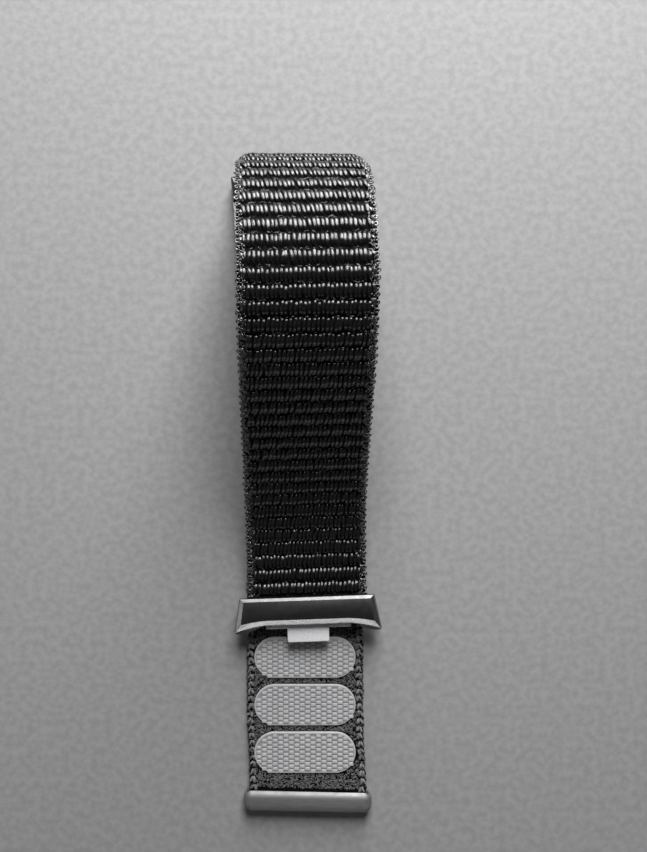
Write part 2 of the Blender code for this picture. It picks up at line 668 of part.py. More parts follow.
def make_sliding_connector():
    """The connector that the strap's tail passes through, with its slot behind a round bar."""
    sizes = (SLIDING_FRONT, SLIDING_ARM_LENGTH, SLIDING_BOTTOM, SLIDING_TOP)
    shell = make_lug("sliding_connector_shell", *sizes, SLIDING)
    inner = STRAP_WIDTH / 2 + RUNNING_GAP
    far = SLIDING_REAR - OVERRUN
    wide = FRONT_WIDTH
    slot_end = SLIDING_BODY_REAR
    cut_box(shell, "sliding_slot", (-inner, far, -wide), (inner, slot_end, wide), SLIDING)
    cut_box(shell, "sliding_arm_top", (-wide, far, ARM_TOP), (wide, slot_end, wide), SLIDING)
    slope = math.atan2(SLIDING_TOP - SLOT_LIP_TOP, SLOT_LIP_RUN)
    lip = box_mesh((-inner, -OVERRUN, 0), (inner, SLOT_LIP_RUN * 2, SLIDING_TOP))
    bmesh.ops.rotate(lip, matrix=Matrix.Rotation(slope, 3, "X"), verts=lip.verts)
    bmesh.ops.translate(lip, vec=(0, slot_end, SLOT_LIP_TOP), verts=lip.verts)
    combine(shell, add_object(lip, "sliding_lip_slope", parent=SLIDING), "DIFFERENCE")
    hole = SLOT_BAR_RADIUS + SNUG_GAP
    cut_rod(shell, "sliding_bar_hole", hole, FRONT_WIDTH, parent=SLIDING)
    bar = rod_mesh(SLOT_BAR_RADIUS, REAR_WIDTH - ARM_TAPER * 2)
    add_object(bar, "slot_bar", "dark_metal", SLIDING)
    add_latch("sliding", shell, SLIDING, SLIDING_FRONT, SLIDING_TOP, SLIDING_BOTTOM)


def add_connector_axis(name, place, turn, tilt=0.0):
    """An empty on the connector's hinge axis: its X runs across the strap and its Y to the tongue."""
    empty = bpy.data.objects.new(name, None)
    STRAP_PARTS.objects.link(empty)
    empty.location = place
    empty.rotation_euler = (tilt, 0, turn)
    return empty


clear_scene()
STRAP_PARTS = new_collection("watch_strap")
CUTTERS = new_collection("cutters")
FIXED = add_connector_axis("fixed_axis", (FIXED_SHIFT, PIN_Y, PIN_HEIGHT), math.pi + FIXED_TURN)
SLIDING = add_connector_axis(
    "sliding_axis", (SLIDING_SHIFT, SLIDING_PLACE_Y, WRAP_OUTER_RADIUS), SLIDING_TURN, SLIDING_TILT
)
make_hook_pads(make_strap())
make_tail_bar()
make_fixed_connector()
make_sliding_connector()
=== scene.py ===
"""The looks of a woven hook-and-loop watch strap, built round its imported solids.

Lengths are metres, written as a number times MM. A place on the strap is (along, across, height): along
runs on the outer face from the strap pin, over the bend and the slot bar, to the end bar; across runs from
edge to edge; and height is measured outward from the outer face, so that the inner face is below zero.
"""
from math import atan2, copysign, cos, hypot, pi, radians, sin

import bmesh
import bpy
import numpy as np
from mathutils import Matrix, Vector


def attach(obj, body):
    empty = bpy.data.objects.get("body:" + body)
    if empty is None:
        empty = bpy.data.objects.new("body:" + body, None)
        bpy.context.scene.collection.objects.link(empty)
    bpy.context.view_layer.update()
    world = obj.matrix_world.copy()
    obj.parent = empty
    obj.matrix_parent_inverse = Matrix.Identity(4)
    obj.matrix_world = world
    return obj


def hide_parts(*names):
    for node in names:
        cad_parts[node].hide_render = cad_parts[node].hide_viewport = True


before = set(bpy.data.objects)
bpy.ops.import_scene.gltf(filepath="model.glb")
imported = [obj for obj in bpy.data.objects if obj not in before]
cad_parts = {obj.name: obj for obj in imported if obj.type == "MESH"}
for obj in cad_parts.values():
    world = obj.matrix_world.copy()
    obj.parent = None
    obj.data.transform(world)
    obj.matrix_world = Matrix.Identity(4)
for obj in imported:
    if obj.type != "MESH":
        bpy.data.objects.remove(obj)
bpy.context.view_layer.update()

MM = 0.001

# Camera
CAMERA_X = 2.85 * MM
CAMERA_HEIGHT = 132.5 * MM
LENS_MM = 36.0
CLIP_START = 1.0 * MM

# The strap's route, as the solids have it
STRAP_WIDTH = 18.0 * MM
STRAP_THICKNESS = 1.5 * MM
ARCH_HEIGHT = 26.9 * MM
TAIL_LENGTH = 88.25 * MM
TAIL_RISE_LENGTH = 6.0 * MM
TAIL_PRESSED_THICKNESS = 0.9 * MM
TAIL_PRESS_LENGTH = 0.5 * MM
TAIL_RISE_SHARE = 0.33
TAIL_TURN_LENGTH = 11.0 * MM
TAIL_END_TURN = radians(-1.2)
TAIL_END_SHIFT = 0.45 * MM
ARCH_SWAYS = [  # (share of the arch's length, shift, turn in degrees)
    (0.14, 0.2 * MM, 1.9), (0.57, 0.9 * MM, 1.0), (0.84, -0.05 * MM, -0.4),
]
RIGHT_EDGE_DROP = 1.4 * MM
LEFT_EDGE_DROP = 0.9 * MM
RUNNING_GAP = 0.3 * MM
SNUG_GAP = 0.15 * MM
FLUSH_GAP = 0.05 * MM
PAD_COUNT = 3
PAD_EDGE = 1.2 * MM
PAD_WIDTH = 6.3 * MM
PAD_PITCH = 7.3 * MM
PAD_BAR_MARGIN = 2.5 * MM
BAR_OVERHANG = 0.85 * MM
BAR_DEPTH = 3.45 * MM
BAR_HEIGHT = 2.5 * MM
BAR_CORNER = 1.3 * MM
BAR_ROUNDING = 1.2 * MM
BAR_BACK_WALL = 0.7 * MM
FIXED_REACH = 56.75 * MM
FIXED_TURN = radians(2.0)
FIXED_SHIFT = 0.4 * MM
PIN_HEIGHT = 3.2 * MM
PIN_RADIUS = 0.4 * MM
EYE_RADIUS = 1.15 * MM
SLIDING_PLACE_Y = 30.0 * MM
SLIDING_SHIFT = -0.75 * MM
SLIDING_TURN = radians(-4.0)
SLIDING_TILT = radians(-8.5)
SLOT_BAR_RADIUS = 0.65 * MM
SLOT_OPENING = 2.7 * MM
STRAP_LEAN = radians(65.0)
ARCH_SHARES = [
    (0.049, 0.002), (0.120, 0.021), (0.191, 0.073), (0.260, 0.150), (0.322, 0.240), (0.380, 0.343),
    (0.433, 0.446), (0.493, 0.571), (0.553, 0.695), (0.613, 0.807), (0.675, 0.905), (0.746, 0.975),
    (0.818, 1.000), (0.890, 0.975), (0.961, 0.915), (1.023, 0.833), (1.082, 0.713), (1.124, 0.571),
    (1.140, 0.430), (1.128, 0.305), (1.104, 0.199), (1.080, 0.117),
]
RIGHT_FLAT_SHARE = 0.70
LEFT_FLAT_SHARE = 0.84
BEND_SHARE = 0.85
BEND_SPAN_SHARE = 0.14
SETTLED_TAIL_SHARE = 0.35

# Connectors, as the solids have them
CHEEK = 0.85 * MM
FLARE = 0.95 * MM
FLARE_LENGTH = 5.45 * MM
EAR_DROP = 1.3 * MM
EAR_TIP = 0.4 * MM
FRONT_SIDE_BEVEL = 1.1 * MM
REAR_SIDE_BEVEL = 0.7 * MM
LOWER_SIDE_BEVEL = 0.15 * MM
FRONT_BEVEL = 0.85 * MM
REAR_BEVEL = 0.47 * MM
FRONT_BEVEL_DEPTH = 0.5 * MM
REAR_BEVEL_DEPTH = 0.25 * MM
EAR_START = 5.5 * MM
SHOULDER_DROP = 1.0 * MM
BEVEL_TOP_DROP = 0.8 * MM
EAR_DEPTH = 0.6 * MM
LUG_WALL = 0.6 * MM
TONGUE_WIDTH = 13.0 * MM
TONGUE_THICKNESS = 0.5 * MM
TAB_WIDTH = 6.3 * MM
TAB_REACH = 2.9 * MM
TAB_THICKNESS = 0.6 * MM
TAB_ROUNDING = 0.25 * MM
LATCH_PIN_RADIUS = 0.25 * MM
LATCH_BARREL_RADIUS = 0.65 * MM
FIXED_FRONT = 3.0 * MM
LUG_TOP = 2.0 * MM
LUG_BOTTOM = -1.1 * MM
MOUTH_SHARE = 0.87
REAR_LEAN = radians(10.0)
SLIDING_REAR = -1.1 * MM
SLIDING_BODY_LENGTH = 2.7 * MM
ARM_TOP = 1.05 * MM
ARM_TAPER = 0.35 * MM
SLOT_LIP_TOP = 0.8 * MM
SLOT_LIP_RUN = 1.0 * MM

# Weave
ROW_START = 0.95 * MM
ROW_PITCH = 2.08 * MM
ROW_END_GAP = 1.0 * MM
ROW_SHIFTS = [  # (place along the strap, shift of a row there), in MM
    (0, -0.8), (10, -0.8), (22, -1.25), (33, -1.25), (43, -0.97), (48.6, -0.6), (53, -0.4), (56.4, 0.0),
    (62.7, 0.35), (66, 0.7), (68.5, 1.1),
]
ROW_LEANS = [(0, 0.26), (8, 0.24), (13, 0.14), (18, 0.05), (24, 0.0)]  # (place in MM, fall for each length)
SLANTS = [  # (place in MM, slant in degrees)
    (0, 2), (20, 5), (40, 7), (46, 1), (52, -6), (57, -10), (62, -18), (70, -23), (91, -20),
]
ROW_SLIP = 0.12 * MM
FLOAT_COUNT = 28
FLOAT_BAND = 15.7 * MM
FLOAT_LENGTH = 2.1 * MM
FLOAT_RADIUS = 0.268 * MM
FLOAT_CURL = 0.16 * MM
FLOAT_DEPTH = 0.18 * MM  # from the outer face down to the middle of a float's yarn
FLOAT_SINK = 0.03 * MM
FLOAT_DIVE = 0.38 * MM
FLOAT_BEND_SHARE = 0.58  # of the dive; the rest turns down at the ends
FLOAT_TAPER_SHARE = 0.62
FLOAT_TAPER_POWER = 2.4
FLOAT_FLATNESS_SHARE = 0.5
FLOAT_FULLNESS_SHARE = 0.74
FLOAT_SCATTER = (0.05 * MM, 0.04 * MM, 0.025 * MM)  # along, across, height
FLOAT_TURN_SCATTER = radians(3.5)
FLOAT_SCALES = [(0.88, 1.06), (0.82, 1.1), (0.9, 1.08)]  # length, width, height
STRAY_SHARE = 0.08
STRAY_FACTOR = 2.5
STEEP_SHARE = 0.95  # a yarn that climbs more steeply takes its sides from another direction
THREAD = (0.84 * MM, 0.085 * MM, 0.1 * MM, -0.1 * MM, 0.4)  # as the arguments of short_yarn
THREAD_COUNT = 26
THREAD_SCATTER = 0.1 * MM
THREAD_HEIGHTS = (-0.55 * MM, -0.4 * MM)
THREAD_SCALES = (0.7, 1.3)
THREAD_TURN, THREAD_TURN_SCATTER = 1.2, 0.25

# Ground weave
GROUND_STATIONS = 460
GROUND_DEPTH = 0.42 * MM
GROUND_WAVE = 0.12 * MM
GROUND_RISE = 0.22 * MM  # above the inner face
GROUND_INSET = 0.12 * MM
GROUND_SHOULDER = 0.75 * MM
GROUND_SIDE = 0.25 * MM
GROUND_FLAT_SHARE = 0.8
EYE_STEPS = 32
EYE_INSET = 0.02 * MM

# Edges, pile and stitches
EDGE_RUNS = {  # pitch, inset from the edge, height, scatter
    "rim": (ROW_PITCH / 2, 0.27 * MM, -0.36 * MM, 0.04 * MM),
    "wrap": (ROW_PITCH / 4, 0.2 * MM, 0.0, 0.03 * MM),
    "border": (ROW_PITCH, 0.73 * MM, -0.02 * MM, 0.05 * MM),
    "stitch": (1.15 * MM, 0.7 * MM, -STRAP_THICKNESS - 0.04 * MM, 0.06 * MM),
}
HEIGHT_SPREAD_SHARE = 0.6
RIM_RADIUS = 0.24 * MM
RIM_THICKNESS = 0.105 * MM
RIM_SCALES = (0.88, 1.12)
RIM_TURN = 0.4
WRAP_START = 0.24 * MM
WRAP_LEAN = 0.12 * MM
WRAP_LEAN_SPREAD = 1.5
WRAP_REACH = 0.55 * MM
WRAP_SINK = 0.12 * MM
WRAP_HALF_HEIGHT = 0.5 * MM
WRAP_RADIUS = 0.13 * MM
BORDER_LENGTH = 1.35 * MM
BORDER_RADIUS = 0.21 * MM
BORDER_SCALES = (0.85, 1.1)
BORDER_TURN, BORDER_TURN_SCATTER = radians(-32), radians(6)
CROSSING = (0.52 * MM, 0.085 * MM, 0.0, -0.12 * MM, 0.4)
CROSSING_FACES = [  # (height, up or down, yarns for each square MM)
    (-0.2 * MM, 1.0, 10.0), (0.2 * MM - STRAP_THICKNESS, -1.0, 9.0),
]
CROSSING_BAND = 0.72 * MM
CROSSING_INSET = 0.46 * MM
CROSSING_SCATTER = 0.06 * MM
CROSSING_LENGTHS, CROSSING_WIDTHS = (0.6, 1.2), (0.7, 1.2)
CROSSING_TURN = 1.1
PILE = (0.3 * MM, 0.08 * MM, 0.05 * MM, 0.12 * MM, 0.3)
PILE_STATIONS = 3
PILE_MARGIN = 1.15 * MM
PILE_PAD_GAP = 0.08 * MM
PILE_RISE = 0.05 * MM
PILE_SCATTER = 0.05 * MM
PILE_SCALES = (0.7, 1.25)
PILE_TURN_SCATTER = 0.8
PILE_DENSITIES = {"arch_pile": 4.0, "tail_pile": 5.0, "tail_end_pile": 26.0}  # for each square MM
BARE_TAIL = 32.0 * MM  # the tail's end, which the near connector leaves in view
STITCH_LENGTH = 0.88 * MM
STITCH_BOW = 0.14 * MM
STITCH_TAPER_SHARE = 0.45
STITCH_STRANDS = [(-0.2 * MM, -0.1 * MM, 0.25 * MM), (0.3 * MM, 0.2 * MM, 0.17 * MM)]  # across, lean, radius
STITCH_SCALES = (0.88, 1.1)
STITCH_TURN_SCATTER = 0.2
TAIL_EDGE_OVERLAP = 0.3 * MM
TAIL_PILE_OVERLAP = 0.4 * MM
TAIL_STITCH_OVERLAP = 0.5 * MM

# Hook pads
PAD_LEVELS = [  # (inset, height, shift away from the bar), in MM
    (0.0, 1.25, 0.0), (0.0, 1.58, 0.0), (0.04, 1.64, 0.0), (0.10, 1.67, 0.0), (0.17, 1.67, -0.1),
    (0.22, 1.64, -0.16), (0.26, 1.58, -0.18),
]
HOOK_COLUMN_PITCH = 0.833 * MM
HOOK_ROW_PITCH = 0.72 * MM
HOOK_MARGIN = 0.7 * MM
HOOK_UPPER_INSET = 0.42 * MM
HOOK_LOWER_INSET = 0.06 * MM
HOOK_SIDE_INSET = 0.05 * MM
HOOK_HEIGHT = 1.59 * MM
HOOK_HALVES = (0.365 * MM, 0.265 * MM, 0.09 * MM)
HOOK_POWERS = (0.4, 0.5, 0.6)

# Softened edges of the metal
CUT_OVERRUN = 1.0 * MM
LUG_FOOT = 0.1 * MM
LUG_FLOOR_SHARE = 0.99
BODY_LEVEL_SHARES = (0.0, 0.8, 0.95)
BEVEL_LEVEL_SHARES = (0.06, 0.14, 0.88, 0.96, 1.0)
EAR_STEPS = 6
ARC_STEPS = 14
BAR_STEPS = 6
BAR_CORNER_STEPS = 8
TAB_RIM = 0.1 * MM
PIECE_CREASE = radians(35.0)
GROUND_CREASE = radians(50.0)

# Looks
COLD_TINT = 1.02
BRUSHED = (0.1, 1.0, 1.0)
THREADED = (1.0, 0.4, 1.0)
FIBRE_STRETCH = (14.0, 1.1, 1.0)
FIBRE_ANISOTROPY = 0.7
FIBRE_DEPTH = 0.05 * MM
MARK_SHIFTS = 400  # how many ways the fibre pattern can be shifted from one yarn to the next
ROUGHNESS_SPREAD = (0.8, 1.25)
WORN_GRAIN_SHARE = 1 / 8
WORLD_LEVEL = 0.03
LIGHTS = [  # (name, place, size, watts, aim if not the origin)
    ("key", (0.035, 0.24, 0.15), (0.15, 0.28), 1.76, (0.0, 0.03, 0.01)),
    ("overhead", (0.0, -0.14, 0.45), (0.06, 0.06), 0.01),
    ("front", (0.0, -0.5, 0.16), (0.4, 0.07), 0.12),
    ("left", (-0.4, -0.1, 0.3), (0.3, 0.2), 0.06),
]
FLOOR_SIZE = 4.0
SEED = 7

half_width = STRAP_WIDTH / 2
half_room = half_width + RUNNING_GAP
pin_y = SLIDING_PLACE_Y - FIXED_REACH
tail_end_y = SLIDING_PLACE_Y - TAIL_LENGTH
bar_strap_side_y = tail_end_y - RUNNING_GAP - BAR_BACK_WALL + BAR_DEPTH
wrap_outer_radius = SLOT_BAR_RADIUS + RUNNING_GAP + STRAP_THICKNESS
rear_width = STRAP_WIDTH + (RUNNING_GAP + CHEEK) * 2
front_width = rear_width + FLARE * 2
sliding_body_rear = SLOT_BAR_RADIUS + SLOT_OPENING
sliding_front = sliding_body_rear + SLIDING_BODY_LENGTH
sliding_arm_length = sliding_front + EAR_DROP - FLARE_LENGTH - SLIDING_REAR


def smooth_step(share):
    return share * share * (3 - 2 * share)


def signed_power(value, power):
    return copysign(abs(value) ** power, value)


def arc(x, y, radius, first, last, steps):
    """Points on an arc round (x, y), from one turn to another."""
    turns = [first + (last - first) * step / steps for step in range(steps + 1)]
    return [(x + radius * cos(turn), y + radius * sin(turn)) for turn in turns]


# The strap's route


def catmull(a, b, c, d, t):
    return (
        b * 2 + (c - a) * t + (a * 2 - b * 5 + c * 4 - d) * t * t + (b * 3 - a - c * 3 + d) * t**3
    ) / 2


def wrap_points(steps):
    radius = wrap_outer_radius
    around = arc(SLIDING_PLACE_Y, radius, radius, STRAP_LEAN - pi / 2, -pi / 2, steps)
    return [Vector(point) for point in around]


def arch_points(steps):
    start = Vector((pin_y, PIN_HEIGHT - EYE_RADIUS + FLUSH_GAP + STRAP_THICKNESS))
    rise = ARCH_HEIGHT - start.y
    middle = [start + Vector((along * FIXED_REACH, up * rise)) for along, up in ARCH_SHARES]
    wrap = wrap_points(steps=6)
    knots = [start * 2 - middle[0], start, *middle, wrap[0], wrap[1]]
    points = []
    for a, b, c, d in zip(knots, knots[1:], knots[2:], knots[3:]):
        points += [catmull(a, b, c, d, step / steps) for step in range(steps)]
    return points


def tail_points(steps):
    flat_end = bar_strap_side_y + TAIL_RISE_LENGTH
    rise = (BAR_HEIGHT - TAIL_PRESSED_THICKNESS) / 2
    points = []
    for step in range(1, steps + 1):
        points.append(Vector((SLIDING_PLACE_Y + (flat_end - SLIDING_PLACE_Y) * step / steps, 0)))
    points.append(Vector((bar_strap_side_y + TAIL_RISE_LENGTH / 2, rise * TAIL_RISE_SHARE)))
    pressed = (bar_strap_side_y + TAIL_PRESS_LENGTH, bar_strap_side_y - TAIL_PRESS_LENGTH, tail_end_y)
    return points + [Vector((y, rise)) for y in pressed]


class Route:
    """The strap's outer face along its length: its middle, directions across and out, bend and thickness."""

    def __init__(self):
        arch = arch_points(steps=8)
        points = np.array([tuple(p) for p in arch + wrap_points(steps=24) + tail_points(steps=40)])
        steps = np.hypot(*np.diff(points, axis=0).T)
        self.along = np.concatenate([[0.0], np.cumsum(steps)])
        self.slot = self.along[len(arch)]
        self.bar = self.along[-3]
        self.end = self.along[-1]
        stations = [
            (0.0, FIXED_SHIFT, FIXED_TURN),
            *[(self.slot * share, shift, radians(turn)) for share, shift, turn in ARCH_SWAYS],
            (self.slot - wrap_outer_radius, SLIDING_SHIFT, SLIDING_TURN),
            (self.slot + wrap_outer_radius * 2, SLIDING_SHIFT, SLIDING_TURN),
            (self.slot + TAIL_LENGTH * SETTLED_TAIL_SHARE, 0.0, 0.0),
            (self.bar - TAIL_TURN_LENGTH, 0.0, 0.0),
            (self.bar, TAIL_END_SHIFT, TAIL_END_TURN),
            (self.end, TAIL_END_SHIFT, TAIL_END_TURN),
        ]
        shift = self.eased(stations, 1)
        turn = self.eased(stations, 2)
        self.middle = np.column_stack([shift, points])
        self.across = np.column_stack([np.cos(turn), np.sin(turn), np.zeros(len(turn))])
        ahead = np.gradient(points, self.along, axis=0)
        ahead /= np.linalg.norm(ahead, axis=1)[:, None]
        self.out = np.column_stack([np.zeros(len(turn)), -ahead[:, 1], ahead[:, 0]])
        self.bend = np.clip(1 - abs(self.along / self.slot - BEND_SHARE) / BEND_SPAN_SHARE, 0, 1)
        pressed = np.clip((self.along - (self.bar - TAIL_RISE_LENGTH)) / TAIL_RISE_LENGTH, 0, 1)
        self.press = 1 - smooth_step(pressed) * (1 - TAIL_PRESSED_THICKNESS / STRAP_THICKNESS)

    def eased(self, stations, column):
        values = np.zeros(len(self.along))
        for before, after in zip(stations, stations[1:]):
            here = (self.along >= before[0]) & (self.along <= after[0])
            share = smooth_step((self.along[here] - before[0]) / (after[0] - before[0]))
            values[here] = before[column] + (after[column] - before[column]) * share
        return values

    def read(self, values, along):
        if values.ndim == 1:
            return np.interp(along, self.along, values)
        return np.column_stack([np.interp(along, self.along, column) for column in values.T])

    def world(self, places):
        """World points for an array of (along, across, height) places."""
        along, across, height = places.T
        share = across / half_width
        right = np.clip((share - RIGHT_FLAT_SHARE) / (1 - RIGHT_FLAT_SHARE), 0, None)
        left = np.clip((-share - LEFT_FLAT_SHARE) / (1 - LEFT_FLAT_SHARE), 0, None)
        drop = RIGHT_EDGE_DROP * right**2 + LEFT_EDGE_DROP * left
        drop *= smooth_step(self.read(self.bend, along))
        lift = height * self.read(self.press, along) - drop
        out = self.read(self.out, along)
        return (
            self.read(self.middle, along)
            + self.read(self.across, along) * across[:, None]
            + out * lift[:, None]
        )


ROUTE = Route()
RANDOM = np.random.RandomState(SEED)


# Yarn shapes and meshes


def ring_faces(rings, sides, closed=False, start=0):
    """Four-sided faces from each ring of points to the next, and from the last to the first if closed."""
    faces = []
    for ring in range(rings if closed else rings - 1):
        here = start + ring * sides
        following = start + (ring + 1) % rings * sides
        for number in range(sides):
            after = (number + 1) % sides
            faces.append((here + number, here + after, following + after, following + number))
    return faces


def tube(path, radii, sides=6, flatness=1.0, fullness=1.0):
    """A closed yarn shape: its points, its four-sided faces, and (round, along) marks for its fibres.

    The lower its fullness is below 1, the squarer its section.
    """
    path = np.array(path, float)
    ahead = np.gradient(path, axis=0)
    ahead /= np.linalg.norm(ahead, axis=1)[:, None]
    up = np.array([0.0, 0.0, 1.0])
    if abs(ahead[:, 2]).max() > STEEP_SHARE:
        up = np.array([1.0, 0.0, 0.0])
    side = np.cross(ahead, up)
    side /= np.linalg.norm(side, axis=1)[:, None]
    over = np.cross(side, ahead)
    run = np.concatenate([[0.0], np.cumsum(np.linalg.norm(np.diff(path, axis=0), axis=1))]) / MM
    points, marks = [], []
    for place, s, o, radius, length in zip(path, side, over, radii, run):
        for number in range(sides):
            turn = 2 * pi * number / sides - pi / 2
            wide = signed_power(cos(turn), fullness)
            high = signed_power(sin(turn), fullness)
            points.append(place + radius * (s * wide + o * flatness * high))
            marks.append((number / sides, length))
    faces = ring_faces(len(path), sides)
    last = (len(path) - 1) * sides
    for number in range(1, sides - 2, 2):
        faces.append((0, number + 2, number + 1, number))
        faces.append((last, last + number, last + number + 1, last + number + 2))
    return np.array(points), np.array(faces), np.array(marks)


def ring_shape(radius, thickness, steps=12, sides=5):
    """A closed ring lying across the strap's edge."""
    points, marks = [], []
    for step in range(steps):
        turn = 2 * pi * step / steps
        for number in range(sides):
            tilt = 2 * pi * number / sides
            reach = radius + thickness * cos(tilt)
            points.append((reach * cos(turn), reach * sin(turn), thickness * sin(tilt)))
            marks.append((number / sides, step / steps))
    return np.array(points), np.array(ring_faces(steps, sides, closed=True)), np.array(marks)


def scatter(shape, places, scales, turns):
    """Copies of a shape at (along, across, height) places, each with its own scales and turn."""
    points, faces, marks = shape
    faces = facing_out(points, faces)
    count = len(places)
    copies = points[None] * scales[:, None, :]
    cosines, sines = np.cos(turns)[:, None], np.sin(turns)[:, None]
    along = copies[..., 0] * cosines - copies[..., 1] * sines
    across = copies[..., 0] * sines + copies[..., 1] * cosines
    copies = np.stack([along, across, copies[..., 2]], axis=-1) + places[:, None, :]
    mirrored = scales.prod(axis=1) < 0
    all_faces = np.where(mirrored[:, None, None], faces[None, :, ::-1], faces[None])
    all_faces = all_faces + np.arange(count)[:, None, None] * len(points)
    shifts = RANDOM.randint(0, MARK_SHIFTS, (count, 1, 2))
    all_marks = marks[None] + shifts
    return copies.reshape(-1, 3), all_faces.reshape(-1, faces.shape[1]), all_marks.reshape(-1, 2)


def joined(shapes):
    points, faces, marks, start = [], [], [], 0
    for shape in shapes:
        points.append(shape[0])
        faces.append(shape[1] + start)
        marks.append(shape[2])
        start += len(shape[0])
    return np.concatenate(points), np.concatenate(faces), np.concatenate(marks)


def facing_out(points, faces):
    """The faces, turned round if the closed mesh is inside out."""
    a, b, c, d = (points[faces[:, i]] for i in range(4))
    if (a * (np.cross(b, c) + np.cross(c, d))).sum() < 0:
        return faces[:, ::-1]
    return faces


def quick_mesh(name, points, faces, marks):
    """A mesh from arrays of points, four-sided faces and fibre marks."""
    mesh = bpy.data.meshes.new(name)
    mesh.vertices.add(len(points))
    mesh.vertices.foreach_set("co", points.astype(np.float32).reshape(-1))
    mesh.loops.add(faces.size)
    mesh.loops.foreach_set("vertex_index", faces.astype(np.int32).reshape(-1))
    mesh.polygons.add(len(faces))
    mesh.polygons.foreach_set("loop_start", np.arange(0, faces.size, faces.shape[1], dtype=np.int32))
    mesh.update(calc_edges=True)
    layer = mesh.uv_layers.new(name="yarn")
    layer.data.foreach_set("uv", marks[faces.reshape(-1)].astype(np.float32).reshape(-1))
    mesh.shade_smooth()
    return mesh


def new_object(name, data, place=Matrix.Identity(4)):
    made = bpy.data.objects.new(name, data)
    made.matrix_world = place
    bpy.context.scene.collection.objects.link(made)
    return made


def strap_piece(name, shapes, finish):
    """A piece of the strap from yarn shapes, mapped onto the route."""
    places, faces, marks = joined(shapes)
    points = ROUTE.world(places)
    mesh = quick_mesh(name, points, facing_out(points, faces), marks)
    mesh.materials.append(MATERIALS[finish])
    piece = new_object(name, mesh)
    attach(piece, "band")


# Materials


def grey(level, tint=COLD_TINT):
    return (level, level, level * tint, 1.0)


def set_inputs(node, values):
    for name, value in values.items():
        node.inputs[name].default_value = value


def add_node(tree, kind, values, links):
    """A new shader node, with values on some of its sockets and links into others."""
    node = tree.nodes.new(kind)
    set_inputs(node, values)
    for name, output in links.items():
        tree.links.new(output, node.inputs[name])
    return node


def new_material(name, level, roughness, metallic=0.0, specular=0.5):
    made = bpy.data.materials.new(name)
    made.use_nodes = True
    shader = made.node_tree.nodes["Principled BSDF"]
    looks = {"Base Color": grey(level), "Roughness": roughness, "Metallic": metallic}
    set_inputs(shader, {**looks, "Specular IOR Level": specular})
    return made, made.node_tree, shader


def noise(tree, scale, detail=3.0, vector=None, stretch=None):
    """A noise texture's Fac output, on object coordinates or on a vector, stretched if asked."""
    if vector is None:
        vector = tree.nodes.new("ShaderNodeTexCoord").outputs["Object"]
    if stretch is not None:
        mapping = add_node(tree, "ShaderNodeMapping", {"Scale": stretch}, {"Vector": vector})
        vector = mapping.outputs["Vector"]
    texture = add_node(tree, "ShaderNodeTexNoise", {"Scale": scale, "Detail": detail}, {"Vector": vector})
    return texture.outputs["Fac"]


def vary_shade(tree, shader, value, dark, light, stops=(0.3, 0.7), tint=COLD_TINT):
    """Takes the base colour from dark to light between two stops of a noise value."""
    ramp = add_node(tree, "ShaderNodeValToRGB", {}, {"Fac": value})
    for element, stop, level in zip(ramp.color_ramp.elements, stops, (dark, light)):
        element.position = stop
        element.color = grey(level, tint)
    tree.links.new(ramp.outputs["Color"], shader.inputs["Base Color"])


def vary_roughness(tree, shader, value, low, high):
    spread = add_node(tree, "ShaderNodeMapRange", {"To Min": low, "To Max": high}, {"Value": value})
    tree.links.new(spread.outputs["Result"], shader.inputs["Roughness"])


def add_bump(tree, shader, height, distance):
    bump = add_node(tree, "ShaderNodeBump", {"Distance": distance, "Strength": 1.0}, {"Height": height})
    tree.links.new(bump.outputs["Normal"], shader.inputs["Normal"])


def yarn_material(name, dark, light, low_roughness, high_roughness, ior):
    """Twisted nylon: fibres run along each float, and each has its own shade and shine."""
    made, tree, shader = new_material(name, light, low_roughness, specular=1.0)
    set_inputs(shader, {"IOR": ior, "Anisotropic": FIBRE_ANISOTROPY})
    marks = tree.nodes.new("ShaderNodeUVMap")
    marks.uv_map = "yarn"
    tangent = tree.nodes.new("ShaderNodeTangent")
    tangent.direction_type = "UV_MAP"
    tangent.uv_map = "yarn"
    tree.links.new(tangent.outputs["Tangent"], shader.inputs["Tangent"])
    fibres = noise(tree, 1.0, 2.0, marks.outputs["UV"], FIBRE_STRETCH)
    vary_shade(tree, shader, fibres, dark, light)
    vary_roughness(tree, shader, fibres, low_roughness, high_roughness)
    add_bump(tree, shader, fibres, FIBRE_DEPTH)
    return made


def mottled_material(
    name, dark, light, roughness, specular, grain, depth,
    stops=(0.3, 0.7), bump_grain=None, stretch=None, sheen=0.0,
):
    """Cloth or plastic whose shade and height vary in a fine mottle."""
    made, tree, shader = new_material(name, light, roughness, specular=specular)
    mottle = noise(tree, grain, stretch=stretch)
    vary_shade(tree, shader, mottle, dark, light, stops)
    add_bump(tree, shader, mottle if bump_grain is None else noise(tree, bump_grain, 2.0), depth)
    shader.inputs["Sheen Weight"].default_value = sheen
    return made


def pile_material(name, dark, light):
    """Brushed nylon loops: dull, with lighter worn tips."""
    return mottled_material(
        name, dark, light, roughness=0.65, specular=0.4, grain=1900.0, depth=0.06 * MM, stops=(0.35, 0.65),
        bump_grain=6000.0, sheen=0.3,
    )


def core_material():
    """The ground weave that shows between the floats."""
    return mottled_material(
        "ground_weave", 0.002, 0.01, roughness=0.8, specular=0.08, grain=2600.0, depth=0.15 * MM,
        stops=(0.4, 0.7), stretch=THREADED,
    )


def hook_material(name, dark, light):
    """Moulded hook tape: light grey plastic with a faint mottle."""
    return mottled_material(
        name, dark, light, roughness=0.42, specular=0.5, grain=900.0, depth=0.02 * MM, bump_grain=5000.0
    )


